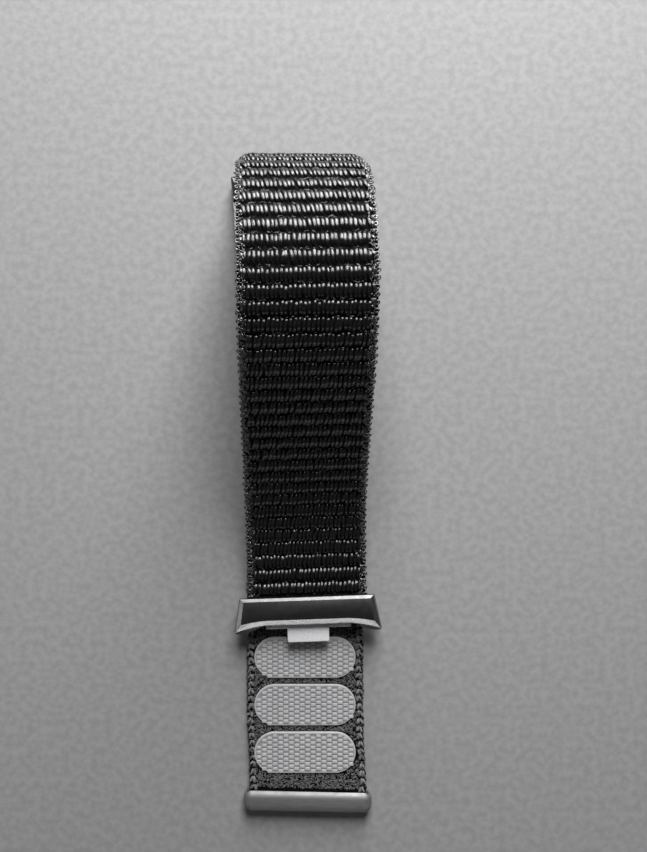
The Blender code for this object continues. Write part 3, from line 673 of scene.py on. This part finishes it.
def metal_material(name, dark, light, roughness, grain, depth, stretch=None, metallic=1.0):
    """Metal with a fine grain: brushed where the grain is stretched, blasted where it isn't."""
    made, tree, shader = new_material(name, light, roughness, metallic)
    fine = noise(tree, grain, 4.0, stretch=stretch)
    vary_shade(tree, shader, fine, dark, light)
    low, high = ROUGHNESS_SPREAD
    worn = noise(tree, grain * WORN_GRAIN_SHARE)
    vary_roughness(tree, shader, worn, roughness * low, roughness * high)
    add_bump(tree, shader, fine, depth)
    return made


MATERIALS = {  # a metal's numbers are dark, light, roughness, grain and depth
    "float": yarn_material("nylon_float", 0.001, 0.005, 0.26, 0.38, ior=1.56),
    "edge": yarn_material("nylon_edge", 0.008, 0.025, 0.3, 0.45, ior=1.9),
    "pile": pile_material("brushed_nylon", 0.05, 0.19),
    "stitch": pile_material("stitch_thread", 0.08, 0.28),
    "core": core_material(),
    "hook": hook_material("hook_tape", 0.52, 0.62),
    # the pads' sunk base: the same plastic, darker as painted shade between the hooks
    "shaded_hook_base": hook_material("hook_tape_painted_shade", 0.33, 0.39),
    "dark": metal_material("coated_metal", 0.125, 0.155, 0.42, 9000.0, 0.006 * MM),
    "bevel": metal_material("polished_bevel", 0.7, 0.84, 0.26, 7000.0, 0.004 * MM, BRUSHED),
    # a darker copy of the polished bevel: painted shade on the fixed connector's rear bevel and on all the
    # sliding connector's bevels
    "shaded_bevel": metal_material("bevel_painted_shade", 0.14, 0.18, 0.4, 7000.0, 0.004 * MM, BRUSHED),
    "bar": metal_material("satin_bar", 0.3, 0.36, 0.6, 6000.0, 0.01 * MM, BRUSHED, metallic=0.8),
    # the tab's near-white, non-metallic grey is partly its own light silver, partly painted light where the
    # connector shades it
    "tab": metal_material("blasted_tab_painted_light", 0.84, 1.0, 0.4, 3500.0, 0.04 * MM, metallic=0.0),
    # the tongue plate's near-white steel is partly its own colour, partly painted light where it lies in
    # shade under the connector
    "tongue": metal_material("matte_steel", 0.84, 0.98, 0.36, 9000.0, 0.01 * MM, metallic=0.3),
    "steel": metal_material("spring_steel", 0.45, 0.6, 0.35, 6000.0, 0.004 * MM, BRUSHED),
}


# The strap's ground weave


def row_places():
    """Where each row of floats lies along the strap: even, but for a slow drift."""
    even = np.arange(ROW_START, ROUTE.end - ROW_END_GAP, ROW_PITCH)
    return even + np.interp(even / MM, *zip(*ROW_SHIFTS)) * MM


ROWS = row_places()


def cross_section(along):
    """The ground weave's outline across the strap, thinner in the valleys between the rows of floats."""
    wave = cos(2 * pi * np.interp(along, ROWS, np.arange(len(ROWS))))
    top = GROUND_WAVE * wave - GROUND_DEPTH
    bottom = GROUND_RISE - STRAP_THICKNESS
    middle = (top + bottom) / 2
    edge = half_width - GROUND_INSET
    side = edge - GROUND_INSET
    shoulder = half_width - GROUND_SHOULDER
    upper = [(-edge, middle), (-side, middle + GROUND_SIDE), (-shoulder, top)]
    upper += [(across, top) for across in np.linspace(-1, 1, 9) * shoulder * GROUND_FLAT_SHARE]
    upper += [(shoulder, top), (side, middle + GROUND_SIDE)]
    lower = [(edge, middle), (side, middle - GROUND_SIDE), (shoulder, bottom)]
    lower += [(across, bottom) for across in np.linspace(1, -1, 5) * shoulder * GROUND_FLAT_SHARE]
    lower += [(-shoulder, bottom), (-side, middle - GROUND_SIDE)]
    return upper + lower


def make_body():
    """The ground weave from the strap pin to the cut end, with the eye round the pin."""
    outlines = [(along, cross_section(along)) for along in np.linspace(0.0, ROUTE.end, GROUND_STATIONS)]
    places = [(along, across, height) for along, outline in outlines for across, height in outline]
    count = len(outlines[0][1])
    faces = ring_faces(GROUND_STATIONS, count)
    faces.append(tuple(reversed(range(count))))
    faces.append(tuple(range(len(places) - count, len(places))))
    points = [Vector(p) for p in ROUTE.world(np.array(places))]
    eye_points, eye_faces = eye_mesh(len(points))
    mesh = bpy.data.meshes.new("strap_body")
    mesh.from_pydata(points + eye_points, [], faces + eye_faces)
    bm = bmesh.new()
    bm.from_mesh(mesh)
    body = add_object(bm, "strap_body", "core")
    finish_piece(body, "band", "nylon", "woven_strap", crease=GROUND_CREASE)


def eye_mesh(start):
    """The sewn eye round the strap pin: a hollow cylinder across the strap."""
    outer = EYE_RADIUS - EYE_INSET
    inner = PIN_RADIUS + RUNNING_GAP
    corners = [(-half_width, outer), (half_width, outer), (half_width, inner), (-half_width, inner)]
    points = []
    for step in range(EYE_STEPS):
        turn = 2 * pi * step / EYE_STEPS
        for x, radius in corners:
            points.append(fixed_place() @ Vector((x, radius * cos(turn), radius * sin(turn))))
    return points, ring_faces(EYE_STEPS, len(corners), closed=True, start=start)


# The strap's yarns


def float_shape(length, radius, stations, sides):
    """A float: a flattened, slightly curled length of yarn that arches up and dives in at both ends."""
    t = np.linspace(-1, 1, stations)
    dive = FLOAT_DIVE * (FLOAT_BEND_SHARE * t**2 + (1 - FLOAT_BEND_SHARE) * t**6)
    path = np.column_stack([t * length / 2, FLOAT_CURL * (t - t**3), -FLOAT_DEPTH - dive])
    radii = radius * (1 - FLOAT_TAPER_SHARE * abs(t) ** FLOAT_TAPER_POWER)
    return tube(path, radii, sides, FLOAT_FLATNESS_SHARE, FLOAT_FULLNESS_SHARE)


def short_yarn(length, radius, bow, lift, taper_share, stations=5):
    """A short bit of thin yarn whose ends bow sideways, and down or up."""
    t = np.linspace(-1, 1, stations)
    path = np.column_stack([length / 2 * t, bow * t * t, lift * t * t])
    return tube(path, radius * (1 - taper_share * t * t), sides=4)


def row_slant(along):
    return radians(np.interp(along / MM, *zip(*SLANTS)))


def make_floats(name, first, last, stations=11, sides=10):
    """Rows of raised yarn floats across the outer face, between two places along it."""
    points, faces, marks = float_shape(FLOAT_LENGTH, FLOAT_RADIUS, stations, sides)
    rows = [r for r in ROWS if first <= r < last]
    copies = []
    for along in rows:
        places, scales, turns = [], [], []
        slip = RANDOM.uniform(-ROW_SLIP, ROW_SLIP)
        upper_end = min(along + FLOAT_LENGTH / 2, FLOAT_LENGTH)
        along = max(along, upper_end / 2)
        for number in range(FLOAT_COUNT):
            across = (number / (FLOAT_COUNT - 1) - 1 / 2) * FLOAT_BAND + slip
            stray = STRAY_FACTOR if RANDOM.uniform() < STRAY_SHARE else 1
            places.append((
                along + RANDOM.normal(0, FLOAT_SCATTER[0]),
                across + RANDOM.normal(0, FLOAT_SCATTER[1]) * stray,
                RANDOM.normal(0, FLOAT_SCATTER[2]) - FLOAT_SINK,
            ))
            length, width, height = (RANDOM.uniform(*limits) for limits in FLOAT_SCALES)
            scales.append((length * upper_end / FLOAT_LENGTH, width, height))
            turns.append(row_slant(along) + RANDOM.normal(0, FLOAT_TURN_SCATTER) * stray)
        lean = np.interp(along / MM, *zip(*ROW_LEANS))
        leaning = points - np.outer(points[:, 0] * lean, (0, 0, 1)), faces, marks
        copies.append(scatter(leaning, np.array(places), np.array(scales), np.array(turns)))
    strap_piece(name, [*copies, *valley_threads(rows)], "float")


def valley_threads(rows):
    """Thin crossing yarns that show in the valleys between the rows."""
    thread = short_yarn(*THREAD)
    count = THREAD_COUNT
    shapes = []
    for along in rows:
        places = np.column_stack([
            along + ROW_PITCH / 2 + RANDOM.normal(0, THREAD_SCATTER, count),
            RANDOM.uniform(-FLOAT_BAND / 2, FLOAT_BAND / 2, count),
            RANDOM.uniform(*THREAD_HEIGHTS, count),
        ])
        scales = RANDOM.uniform(*THREAD_SCALES, (count, 3))
        turns = RANDOM.choice([-1, 1], count) * RANDOM.normal(THREAD_TURN, THREAD_TURN_SCATTER, count)
        shapes.append(scatter(thread, places, scales, turns))
    return shapes


def both_edges(run, first, last):
    """Places along both edges with a little scatter, and the edge that each is on."""
    pitch, inset, height, spread = EDGE_RUNS[run]
    along = np.arange(first, last, pitch)
    side = np.repeat([-1.0, 1.0], len(along))
    count = len(side)
    places = np.column_stack([
        np.tile(along, 2) + RANDOM.normal(0, spread, count),
        side * (half_width - inset + RANDOM.normal(0, spread, count)),
        height + RANDOM.normal(0, spread * HEIGHT_SPREAD_SHARE, count),
    ])
    return places, side


def wrapped_yarn():
    """A yarn that wraps the strap's rim from one face to the other."""
    t = np.linspace(-1, 1, 9)
    wrap = np.column_stack([
        WRAP_LEAN * t,
        WRAP_REACH * np.cos(t * pi / 2) - WRAP_REACH,
        -STRAP_THICKNESS / 2 - WRAP_SINK + WRAP_HALF_HEIGHT * np.sin(t * pi / 2),
    ])
    return tube(wrap, np.full(len(t), WRAP_RADIUS))


def make_edges(name, first, last):
    """The woven edges: loops round the rim, wrapped yarns, border floats and short crossing yarns."""
    shapes = []
    places, side = both_edges("rim", first, last)
    scales = RANDOM.uniform(*RIM_SCALES, (len(side), 3))
    turns = RANDOM.uniform(-RIM_TURN, RIM_TURN, len(side))
    shapes.append(scatter(ring_shape(RIM_RADIUS, RIM_THICKNESS), places, scales, turns))
    places, side = both_edges("wrap", first + WRAP_START, last)
    leans = RANDOM.uniform(-WRAP_LEAN_SPREAD, WRAP_LEAN_SPREAD, len(side))
    scales = np.column_stack([leans, side, np.ones(len(side))])
    shapes.append(scatter(wrapped_yarn(), places, scales, np.zeros(len(side))))
    border = float_shape(BORDER_LENGTH, BORDER_RADIUS, stations=7, sides=6)
    places, side = both_edges("border", first, last)
    turns = RANDOM.normal(BORDER_TURN, BORDER_TURN_SCATTER, len(side))
    scales = RANDOM.uniform(*BORDER_SCALES, (len(side), 3))
    shapes.append(scatter(border, places, scales, turns))
    strap_piece(name, [*shapes, *crossing_yarns(first, last)], "edge")


def crossing_yarns(first, last):
    """Short bits of yarn that cross each other beside the rim, on both faces."""
    short = short_yarn(*CROSSING)
    shapes = []
    for height, sign, density in CROSSING_FACES:
        count = int((last - first) * CROSSING_BAND * density / MM / MM)
        for side in (-1, 1):
            places = np.column_stack([
                RANDOM.uniform(first, last, count),
                side * (half_width - CROSSING_INSET - RANDOM.uniform(0, CROSSING_BAND, count)),
                height + RANDOM.normal(0, CROSSING_SCATTER, count),
            ])
            lengths = RANDOM.uniform(*CROSSING_LENGTHS, count)
            widths = RANDOM.uniform(*CROSSING_WIDTHS, count)
            scales = np.column_stack([lengths, widths, np.full(count, sign)])
            turns = RANDOM.uniform(-CROSSING_TURN, CROSSING_TURN, count)
            shapes.append(scatter(short, places, scales, turns))
    return shapes


def under_pad(along, across):
    """Whether places on the strap's inner face lie under a hook pad."""
    y = ROUTE.read(ROUTE.middle, along)[:, 1]
    covered = np.zeros(len(along), bool)
    reach = half_width - PAD_EDGE - PAD_WIDTH / 2
    for number in range(PAD_COUNT):
        sideways = np.clip(abs(across) - reach, 0, None)
        covered |= np.hypot(sideways, y - pad_y(number)) < PAD_WIDTH / 2 + PILE_PAD_GAP
    return covered & (along > ROUTE.slot + wrap_outer_radius * 4)


def make_pile(name, first, last):
    """The brushed inner face: a dense pile of small bowed loops, left out under the hook pads."""
    loop = short_yarn(*PILE, stations=PILE_STATIONS)
    reach = half_width - PILE_MARGIN
    count = int((last - first) * reach * 2 * PILE_DENSITIES[name] / MM / MM)
    along = RANDOM.uniform(first, last, count)
    across = RANDOM.uniform(-reach, reach, count)
    height = PILE_RISE - STRAP_THICKNESS + RANDOM.normal(0, PILE_SCATTER, count)
    places = np.column_stack([along, across, height])[~under_pad(along, across)]
    scales = RANDOM.uniform(*PILE_SCALES, (len(places), 3))
    turns = RANDOM.normal(0, PILE_TURN_SCATTER, len(places))
    strap_piece(name, [scatter(loop, places, scales, turns)], "pile")


def stitch_shape():
    """One overlock stitch: a fat strand towards the pile, and a thin one that leans away over the edge."""
    t = np.linspace(-1, 1, 7)
    strands = []
    for across, lean, radius in STITCH_STRANDS:
        path = np.column_stack([STITCH_LENGTH / 2 * t, across + lean * t, STITCH_BOW * t * t])
        strands.append(tube(path, radius * (1 - STITCH_TAPER_SHARE * abs(t) ** 3)))
    return joined(strands)


def make_stitches(name, first, last):
    """A chain of overlock stitches along each edge of the inner face."""
    places, side = both_edges("stitch", first, last)
    scales = RANDOM.uniform(*STITCH_SCALES, (len(places), 3))
    scales[:, 1] *= side
    turns = RANDOM.normal(0, STITCH_TURN_SCATTER, len(places)) * side
    strap_piece(name, [scatter(stitch_shape(), places, scales, turns)], "stitch")


# Solid pieces


def add_object(bm, name, *finishes, place=Matrix.Identity(4)):
    mesh = bpy.data.meshes.new(name)
    bmesh.ops.recalc_face_normals(bm, faces=bm.faces)
    bm.to_mesh(mesh)
    bm.free()
    for finish in finishes:
        mesh.materials.append(MATERIALS[finish])
    return new_object(name, mesh, place)


def finish_piece(piece, body, slot, *nodes, crease=PIECE_CREASE):
    piece.data.shade_smooth()
    piece.data.set_sharp_from_angle(angle=crease)
    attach(piece, body)
    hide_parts(*nodes)


def loft(bm, rings):
    """Joins rings of points, from the lowest up, into a closed body, and returns its sides and its top."""
    rings = [[bm.verts.new(point) for point in ring] for ring in rings]
    sides = []
    for ring, following in zip(rings, rings[1:]):
        for number in range(len(ring)):
            after = (number + 1) % len(ring)
            sides.append(bm.faces.new((ring[number], ring[after], following[after], following[number])))
    bm.faces.new(list(reversed(rings[0])))
    return sides, bm.faces.new(rings[-1])


def box_mesh(low, high):
    low, high = Vector(low), Vector(high)
    bm = bmesh.new()
    bmesh.ops.create_cube(bm, size=1.0)
    bmesh.ops.scale(bm, vec=high - low, verts=bm.verts)
    bmesh.ops.translate(bm, vec=(low + high) / 2, verts=bm.verts)
    return bm


def rod_mesh(radius, length, sides=32):
    bm = bmesh.new()
    bmesh.ops.create_cone(bm, cap_ends=True, segments=sides, radius1=radius, radius2=radius, depth=length)
    bmesh.ops.rotate(bm, matrix=Matrix.Rotation(pi / 2, 3, "Y"), verts=bm.verts)
    return bm


def tilted(bm, tilt, shift):
    bmesh.ops.rotate(bm, matrix=Matrix.Rotation(tilt, 3, "X"), verts=bm.verts)
    bmesh.ops.translate(bm, vec=shift, verts=bm.verts)
    return bm


def combine(obj, bm, operation="DIFFERENCE"):
    """Cuts a bmesh from an object, or joins it, at once. The bmesh is in the object's own space."""
    other = add_object(bm, "cutter", place=obj.matrix_world)
    modifier = obj.modifiers.new("cut", "BOOLEAN")
    modifier.operation = operation
    modifier.object = other
    bpy.context.view_layer.update()
    done = bpy.data.meshes.new_from_object(obj.evaluated_get(bpy.context.evaluated_depsgraph_get()))
    obj.modifiers.clear()
    obj.data = done
    bpy.data.objects.remove(other)


# Hook pads


def pill_outline(length, width, steps):
    radius = width / 2
    points = []
    for end in (1, -1):
        around = arc(length / 2 - radius, 0, radius, -pi / 2, pi / 2, steps)
        points += [(end * x, end * y) for x, y in around]
    return points


def pad_y(number):
    return bar_strap_side_y + PAD_BAR_MARGIN + PAD_WIDTH / 2 + number * PAD_PITCH


def hook_head():
    """One hook's head at the pad's middle: a low rounded bar across the strap."""
    bm = bmesh.new()
    bmesh.ops.create_uvsphere(bm, u_segments=16, v_segments=8, radius=1.0)
    for vert in bm.verts:
        shaped = zip(vert.co, HOOK_POWERS, HOOK_HALVES)
        vert.co = [signed_power(v, power) * half for v, power, half in shaped]
        vert.co.z += HOOK_HEIGHT
    mesh = bpy.data.meshes.new("hook_head")
    bm.to_mesh(mesh)
    bm.free()
    return mesh


def hook_places(length, width):
    """Staggered places for the hooks, inside the pad's outline."""
    columns = int((length - HOOK_MARGIN) / HOOK_COLUMN_PITCH) + 1
    rows = int(width / HOOK_ROW_PITCH) + 2
    for column in range(columns):
        x = (column - (columns - 1) / 2) * HOOK_COLUMN_PITCH
        sideways = max(abs(x) - (length - width) / 2, 0) + HOOK_SIDE_INSET
        for row in range(rows):
            y = (row - rows / 2 + column % 2 / 2) * HOOK_ROW_PITCH
            inset = HOOK_UPPER_INSET if y > 0 else HOOK_LOWER_INSET
            if hypot(sideways, y) < width / 2 - inset:
                yield x, y


def hook_pad_mesh(length, width):
    """A pad of hook tape: a rimmed base, sunk a little inside its rim, with staggered hook heads.

    The sunk base takes a darker grey than its rim and heads: painted shade between the hooks.
    """
    rings = []
    for inset, height, shift in PAD_LEVELS:
        outline = pill_outline(length - inset * 2 * MM, width - inset * 2 * MM, steps=20)
        rings.append([(x, y + shift * MM, height * MM) for x, y in outline])
    bm = bmesh.new()
    # the sunk base's top takes the darker grey: painted shade between the hook heads
    loft(bm, rings)[1].material_index = 1
    head = hook_head()
    for x, y in hook_places(length, width):
        head.transform(Matrix.Translation((x, y, 0)))
        bm.from_mesh(head)
        head.transform(Matrix.Translation((-x, -y, 0)))
    bpy.data.meshes.remove(head)
    return bm


def make_hook_pads():
    for number in range(PAD_COUNT):
        bm = hook_pad_mesh(STRAP_WIDTH - PAD_EDGE * 2, PAD_WIDTH)
        place = Matrix.Translation((0, pad_y(number), 0))
        pad = add_object(bm, f"hook_tape_{number + 1}", "hook", "shaded_hook_base", place=place)
        finish_piece(pad, "band", "hook", f"hook_pad_{number + 1}")


# Connectors


def lug_outline(front, arm_length):
    ear = front + EAR_DROP
    flare_start = ear - FLARE_LENGTH
    right = [(rear_width / 2, flare_start)]
    if arm_length > 0:
        right.insert(0, (rear_width / 2 - ARM_TAPER, flare_start - arm_length))
    tip_x = front_width / 2 - EAR_TIP
    right += arc(tip_x, ear - EAR_TIP, EAR_TIP, 0, pi / 2, EAR_STEPS)
    straight = TONGUE_WIDTH / 2 + SNUG_GAP
    for step in range(1, ARC_STEPS + 1):
        share = step / ARC_STEPS
        right.append((tip_x - (tip_x - straight) * share, ear - EAR_DROP * share * share))
    return right + [(-x, y) for x, y in reversed(right)]


def ear_line(x, middle, drop):
    """How far forward an edge of the top's bevel runs: straight in the middle, curving on to each ear."""
    share = max(abs(x) - EAR_START, 0.0) / (front_width / 2 - EAR_START)
    return middle + drop * share * share


def lug_rings(front, arm_length):
    """The body's main outlines, from its underside up: floor, foot, fullest, shoulder and top."""
    rear = front + EAR_DROP - FLARE_LENGTH - arm_length
    foot, fullest, shoulder, top = [], [], [], []
    for x, y in lug_outline(front, arm_length):
        forward = min((y - rear) / (front - rear), 1.0)
        height = LUG_TOP - REAR_BEVEL_DEPTH - (FRONT_BEVEL_DEPTH - REAR_BEVEL_DEPTH) * forward
        foot.append(Vector((x, y, LUG_BOTTOM + LUG_FOOT)))
        fullest.append(Vector((x, y, height - EAR_DEPTH)))
        edge_x = x * (1 - LOWER_SIDE_BEVEL / (front_width / 2))
        shoulder.append(Vector((edge_x, min(y, ear_line(edge_x, front, SHOULDER_DROP)), height)))
        bevel = REAR_SIDE_BEVEL + (FRONT_SIDE_BEVEL - REAR_SIDE_BEVEL) * forward
        top_x = x * (1 - bevel / (front_width / 2))
        top_y = y + REAR_BEVEL * (1 - forward) - FRONT_BEVEL * forward
        if y > front:
            top_y = ear_line(top_x, front - FRONT_BEVEL, BEVEL_TOP_DROP)
        top.append(Vector((top_x, top_y, LUG_TOP)))
    floor = [Vector((p.x * LUG_FLOOR_SHARE, p.y, LUG_BOTTOM)) for p in foot]
    return floor, foot, fullest, shoulder, top


def lug_mesh(front, arm_length):
    """A connector's body: flat top, polished bevels whose edges are softly rounded, and full ears."""
    floor, foot, fullest, shoulder, top = lug_rings(front, arm_length)
    rings = [floor, foot]
    rings += [[a.lerp(b, share) for a, b in zip(fullest, shoulder)] for share in BODY_LEVEL_SHARES]
    bevel_start = (len(rings) - 1) * len(floor)
    rings += [[a.lerp(b, share) for a, b in zip(shoulder, top)] for share in BEVEL_LEVEL_SHARES]
    bm = bmesh.new()
    sides, _ = loft(bm, rings)
    # the face that closes each ring runs across the rear and takes the third finish, the darker bevel copy:
    # painted shade
    for number, face in enumerate(sides[bevel_start:], 1):
        face.material_index = 1 if number % len(floor) else 2
    return bm


def cut_latch(shell, front):
    """The pocket for the tab and its pin, and the seat for the tongue plate."""
    tongue_top = LUG_BOTTOM + TONGUE_THICKNESS
    latch_y = front - LATCH_BARREL_RADIUS - SNUG_GAP / 2
    back = latch_y - LATCH_BARREL_RADIUS - SNUG_GAP
    far = front + EAR_DROP + CUT_OVERRUN
    half_tab = TAB_WIDTH / 2 + RUNNING_GAP
    combine(shell, box_mesh((-half_tab, back, tongue_top), (half_tab, far, LUG_TOP - LUG_WALL)))
    half = TONGUE_WIDTH / 2 + SNUG_GAP
    combine(shell, box_mesh((-half, back, LUG_BOTTOM - CUT_OVERRUN), (half, far, tongue_top + SNUG_GAP)))


def fixed_place():
    place = Matrix.Translation((FIXED_SHIFT, pin_y, PIN_HEIGHT))
    return place @ Matrix.Rotation(pi + FIXED_TURN, 4, "Z")


def sliding_place():
    place = Matrix.Translation((SLIDING_SHIFT, SLIDING_PLACE_Y, wrap_outer_radius))
    return place @ Matrix.Rotation(SLIDING_TURN, 4, "Z") @ Matrix.Rotation(SLIDING_TILT, 4, "X")


def make_fixed_shell():
    # the rear bevel takes the darker bevel copy: painted shade
    finishes = ("dark", "bevel", "shaded_bevel")
    shell = add_object(lug_mesh(FIXED_FRONT, 0.0), "fixed_connector_body", *finishes, place=fixed_place())
    room = EYE_RADIUS + RUNNING_GAP
    rear = FIXED_FRONT + EAR_DROP - FLARE_LENGTH
    far = rear - CUT_OVERRUN * 2
    combine(shell, rod_mesh(room, half_room * 2))
    combine(shell, box_mesh((-half_room, far, far), (half_room, room, 0)))
    combine(shell, box_mesh((-half_room, far, far), (half_room, rear / 2, room * MOUTH_SHARE)))
    lean = box_mesh((-front_width, -CUT_OVERRUN, -front_width), (front_width, 0, 0))
    combine(shell, tilted(lean, REAR_LEAN, (0, rear, LUG_TOP - REAR_BEVEL_DEPTH * 2)))
    combine(shell, rod_mesh(PIN_RADIUS + SNUG_GAP, front_width))
    cut_latch(shell, FIXED_FRONT)
    finish_piece(shell, "fixed_connector", "dark_metal", "fixed_connector_shell")


def make_sliding_shell():
    # all of this connector's bevels take the darker bevel copy: painted shade where it lies in shadow
    finishes = ("dark", "shaded_bevel", "shaded_bevel")
    lug = lug_mesh(sliding_front, sliding_arm_length)
    shell = add_object(lug, "sliding_connector_body", *finishes, place=sliding_place())
    far = SLIDING_REAR - CUT_OVERRUN
    wide = front_width
    combine(shell, box_mesh((-half_room, far, -wide), (half_room, sliding_body_rear, wide)))
    combine(shell, box_mesh((-wide, far, ARM_TOP), (wide, sliding_body_rear, wide)))
    slope = atan2(LUG_TOP - SLOT_LIP_TOP, SLOT_LIP_RUN)
    lip = box_mesh((-half_room, -CUT_OVERRUN, 0), (half_room, SLOT_LIP_RUN * 2, LUG_TOP))
    combine(shell, tilted(lip, slope, (0, sliding_body_rear, SLOT_LIP_TOP)))
    combine(shell, rod_mesh(SLOT_BAR_RADIUS + SNUG_GAP, front_width))
    cut_latch(shell, sliding_front)
    finish_piece(shell, "sliding_connector", "dark_metal", "sliding_connector_shell")


def make_tab(kind, place, front):
    """A press tab with softened edges on its barrel."""
    latch_y = front - LATCH_BARREL_RADIUS - SNUG_GAP / 2
    latch_z = LUG_BOTTOM + TONGUE_THICKNESS + SNUG_GAP + LATCH_BARREL_RADIUS
    tip = front + TAB_REACH - latch_y
    half = TAB_WIDTH / 2
    bm = box_mesh((-half, 0, -TAB_THICKNESS / 2), (half, tip, TAB_THICKNESS / 2))
    ends = {edge: [vert.co for vert in edge.verts] for edge in bm.edges}
    corners = [edge for edge, (a, b) in ends.items() if a.xy == b.xy and a.y > 0]
    bmesh.ops.bevel(bm, geom=corners, offset=TAB_ROUNDING, segments=8, affect="EDGES", profile=0.5)
    rims = [edge for edge in bm.edges if edge.verts[0].co.z == edge.verts[1].co.z]
    bmesh.ops.bevel(bm, geom=rims, offset=TAB_RIM, segments=3, affect="EDGES", profile=0.5)
    tab = add_object(bm, f"{kind}_tab", "tab", place=place @ Matrix.Translation((0, latch_y, latch_z)))
    combine(tab, rod_mesh(LATCH_BARREL_RADIUS, TAB_WIDTH), "UNION")
    combine(tab, rod_mesh(LATCH_PIN_RADIUS + SNUG_GAP, TAB_WIDTH + CUT_OVERRUN))
    finish_piece(tab, f"{kind}_release", "tab_metal", f"{kind}_release_tab")


def bar_outline(inset):
    points = []
    for quarter, (side, end) in enumerate(((1, 0), (-1, 0), (-1, -1), (1, -1))):
        middle_x = side * (STRAP_WIDTH / 2 + BAR_OVERHANG - BAR_CORNER)
        middle_y = end * BAR_DEPTH - BAR_CORNER * (1 + 2 * end)
        first = pi / 2 * quarter
        points += arc(middle_x, middle_y, BAR_CORNER - inset, first, first + pi / 2, BAR_CORNER_STEPS)
    return points


def make_bar():
    """The end bar with rounded edges, and its mouth for the strap's cut end."""
    half = BAR_HEIGHT / 2
    rings = []
    for end, across, up in ((-1, sin, cos), (1, cos, sin)):
        for step in range(BAR_STEPS + 1):
            turn = pi / 2 * step / BAR_STEPS
            inset = BAR_ROUNDING * (1 - across(turn))
            height = end * (half - BAR_ROUNDING * (1 - up(turn)))
            rings.append([(x, y, height) for x, y in bar_outline(inset)])
    bm = bmesh.new()
    loft(bm, rings)
    place = Matrix.Translation((TAIL_END_SHIFT, bar_strap_side_y, half))
    place @= Matrix.Rotation(TAIL_END_TURN, 4, "Z")
    bar = add_object(bm, "end_bar", "bar", place=place)
    mouth = TAIL_PRESSED_THICKNESS / 2 + RUNNING_GAP
    back = BAR_BACK_WALL - BAR_DEPTH
    combine(bar, box_mesh((-half_room, back, -mouth), (half_room, CUT_OVERRUN, mouth)))
    finish_piece(bar, "band", "bar_metal", "tail_bar")


def dress_small_parts():
    """New finishes for the solids that stay as they are."""
    for name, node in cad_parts.items():
        if node.hide_render:
            continue
        # the tongue plate takes the near-white steel, which is partly painted light
        finish = "tongue" if "tongue" in name else "steel"
        if name == "slot_bar":
            finish = "dark"
        node.data.materials.clear()
        node.data.materials.append(MATERIALS[finish])


# Camera, floor and light


def add_camera():
    data = bpy.data.cameras.new("camera")
    data.lens = LENS_MM
    data.clip_start = CLIP_START
    camera = new_object("camera", data, Matrix.Translation((CAMERA_X, 0, CAMERA_HEIGHT)))
    bpy.context.scene.camera = camera


def add_floor():
    bpy.ops.mesh.primitive_plane_add(size=FLOOR_SIZE)
    floor = bpy.context.object
    floor.name = "floor"
    made, tree, shader = new_material("pale_floor", level=0.36, roughness=0.7, specular=0.2)
    vary_shade(tree, shader, noise(tree, 900.0, detail=4.0), 0.33, 0.39, stops=(0.35, 0.65), tint=1.0)
    floor.data.materials.append(made)


def add_area_light(name, place, size, watts, aim=(0, 0, 0)):
    data = bpy.data.lights.new(name, "AREA")
    data.energy = watts
    data.shape = "RECTANGLE"
    data.size, data.size_y = size
    light = new_object(name, data)
    light.location = place
    light.visible_camera = False
    light.rotation_euler = (Vector(aim) - Vector(place)).to_track_quat("-Z", "Y").to_euler()


def add_world():
    world = bpy.data.worlds.new("studio")
    bpy.context.scene.world = world
    world.use_nodes = True
    background = world.node_tree.nodes["Background"]
    set_inputs(background, {"Color": grey(WORLD_LEVEL, tint=1.0), "Strength": 1.0})


def make_strap():
    middle, slot, bar, bare = ROUTE.slot / 2, ROUTE.slot, ROUTE.bar, ROUTE.bar - BARE_TAIL
    make_body()
    make_floats("near_arch_floats", 0.0, middle)
    make_floats("far_arch_floats", middle, slot)
    make_floats("tail_floats", slot, bar - ROW_END_GAP, stations=7, sides=8)
    make_edges("arch_edges", ROW_START, slot)
    make_edges("tail_edges", slot, bar + TAIL_EDGE_OVERLAP)
    make_pile("arch_pile", ROW_START, slot)
    make_pile("tail_pile", slot, bare)
    make_pile("tail_end_pile", bare, bar + TAIL_PILE_OVERLAP)
    make_stitches("arch_stitches", ROW_START, slot)
    make_stitches("tail_stitches", slot, bar + TAIL_STITCH_OVERLAP)


add_camera()
add_floor()
add_world()
for light in LIGHTS:
    add_area_light(*light)
make_strap()
make_hook_pads()
make_fixed_shell()
make_sliding_shell()
make_tab("fixed", fixed_place(), FIXED_FRONT)
make_tab("sliding", sliding_place(), sliding_front)
make_bar()
dress_small_parts()
bpy.context.scene.view_settings.view_transform = "Standard"
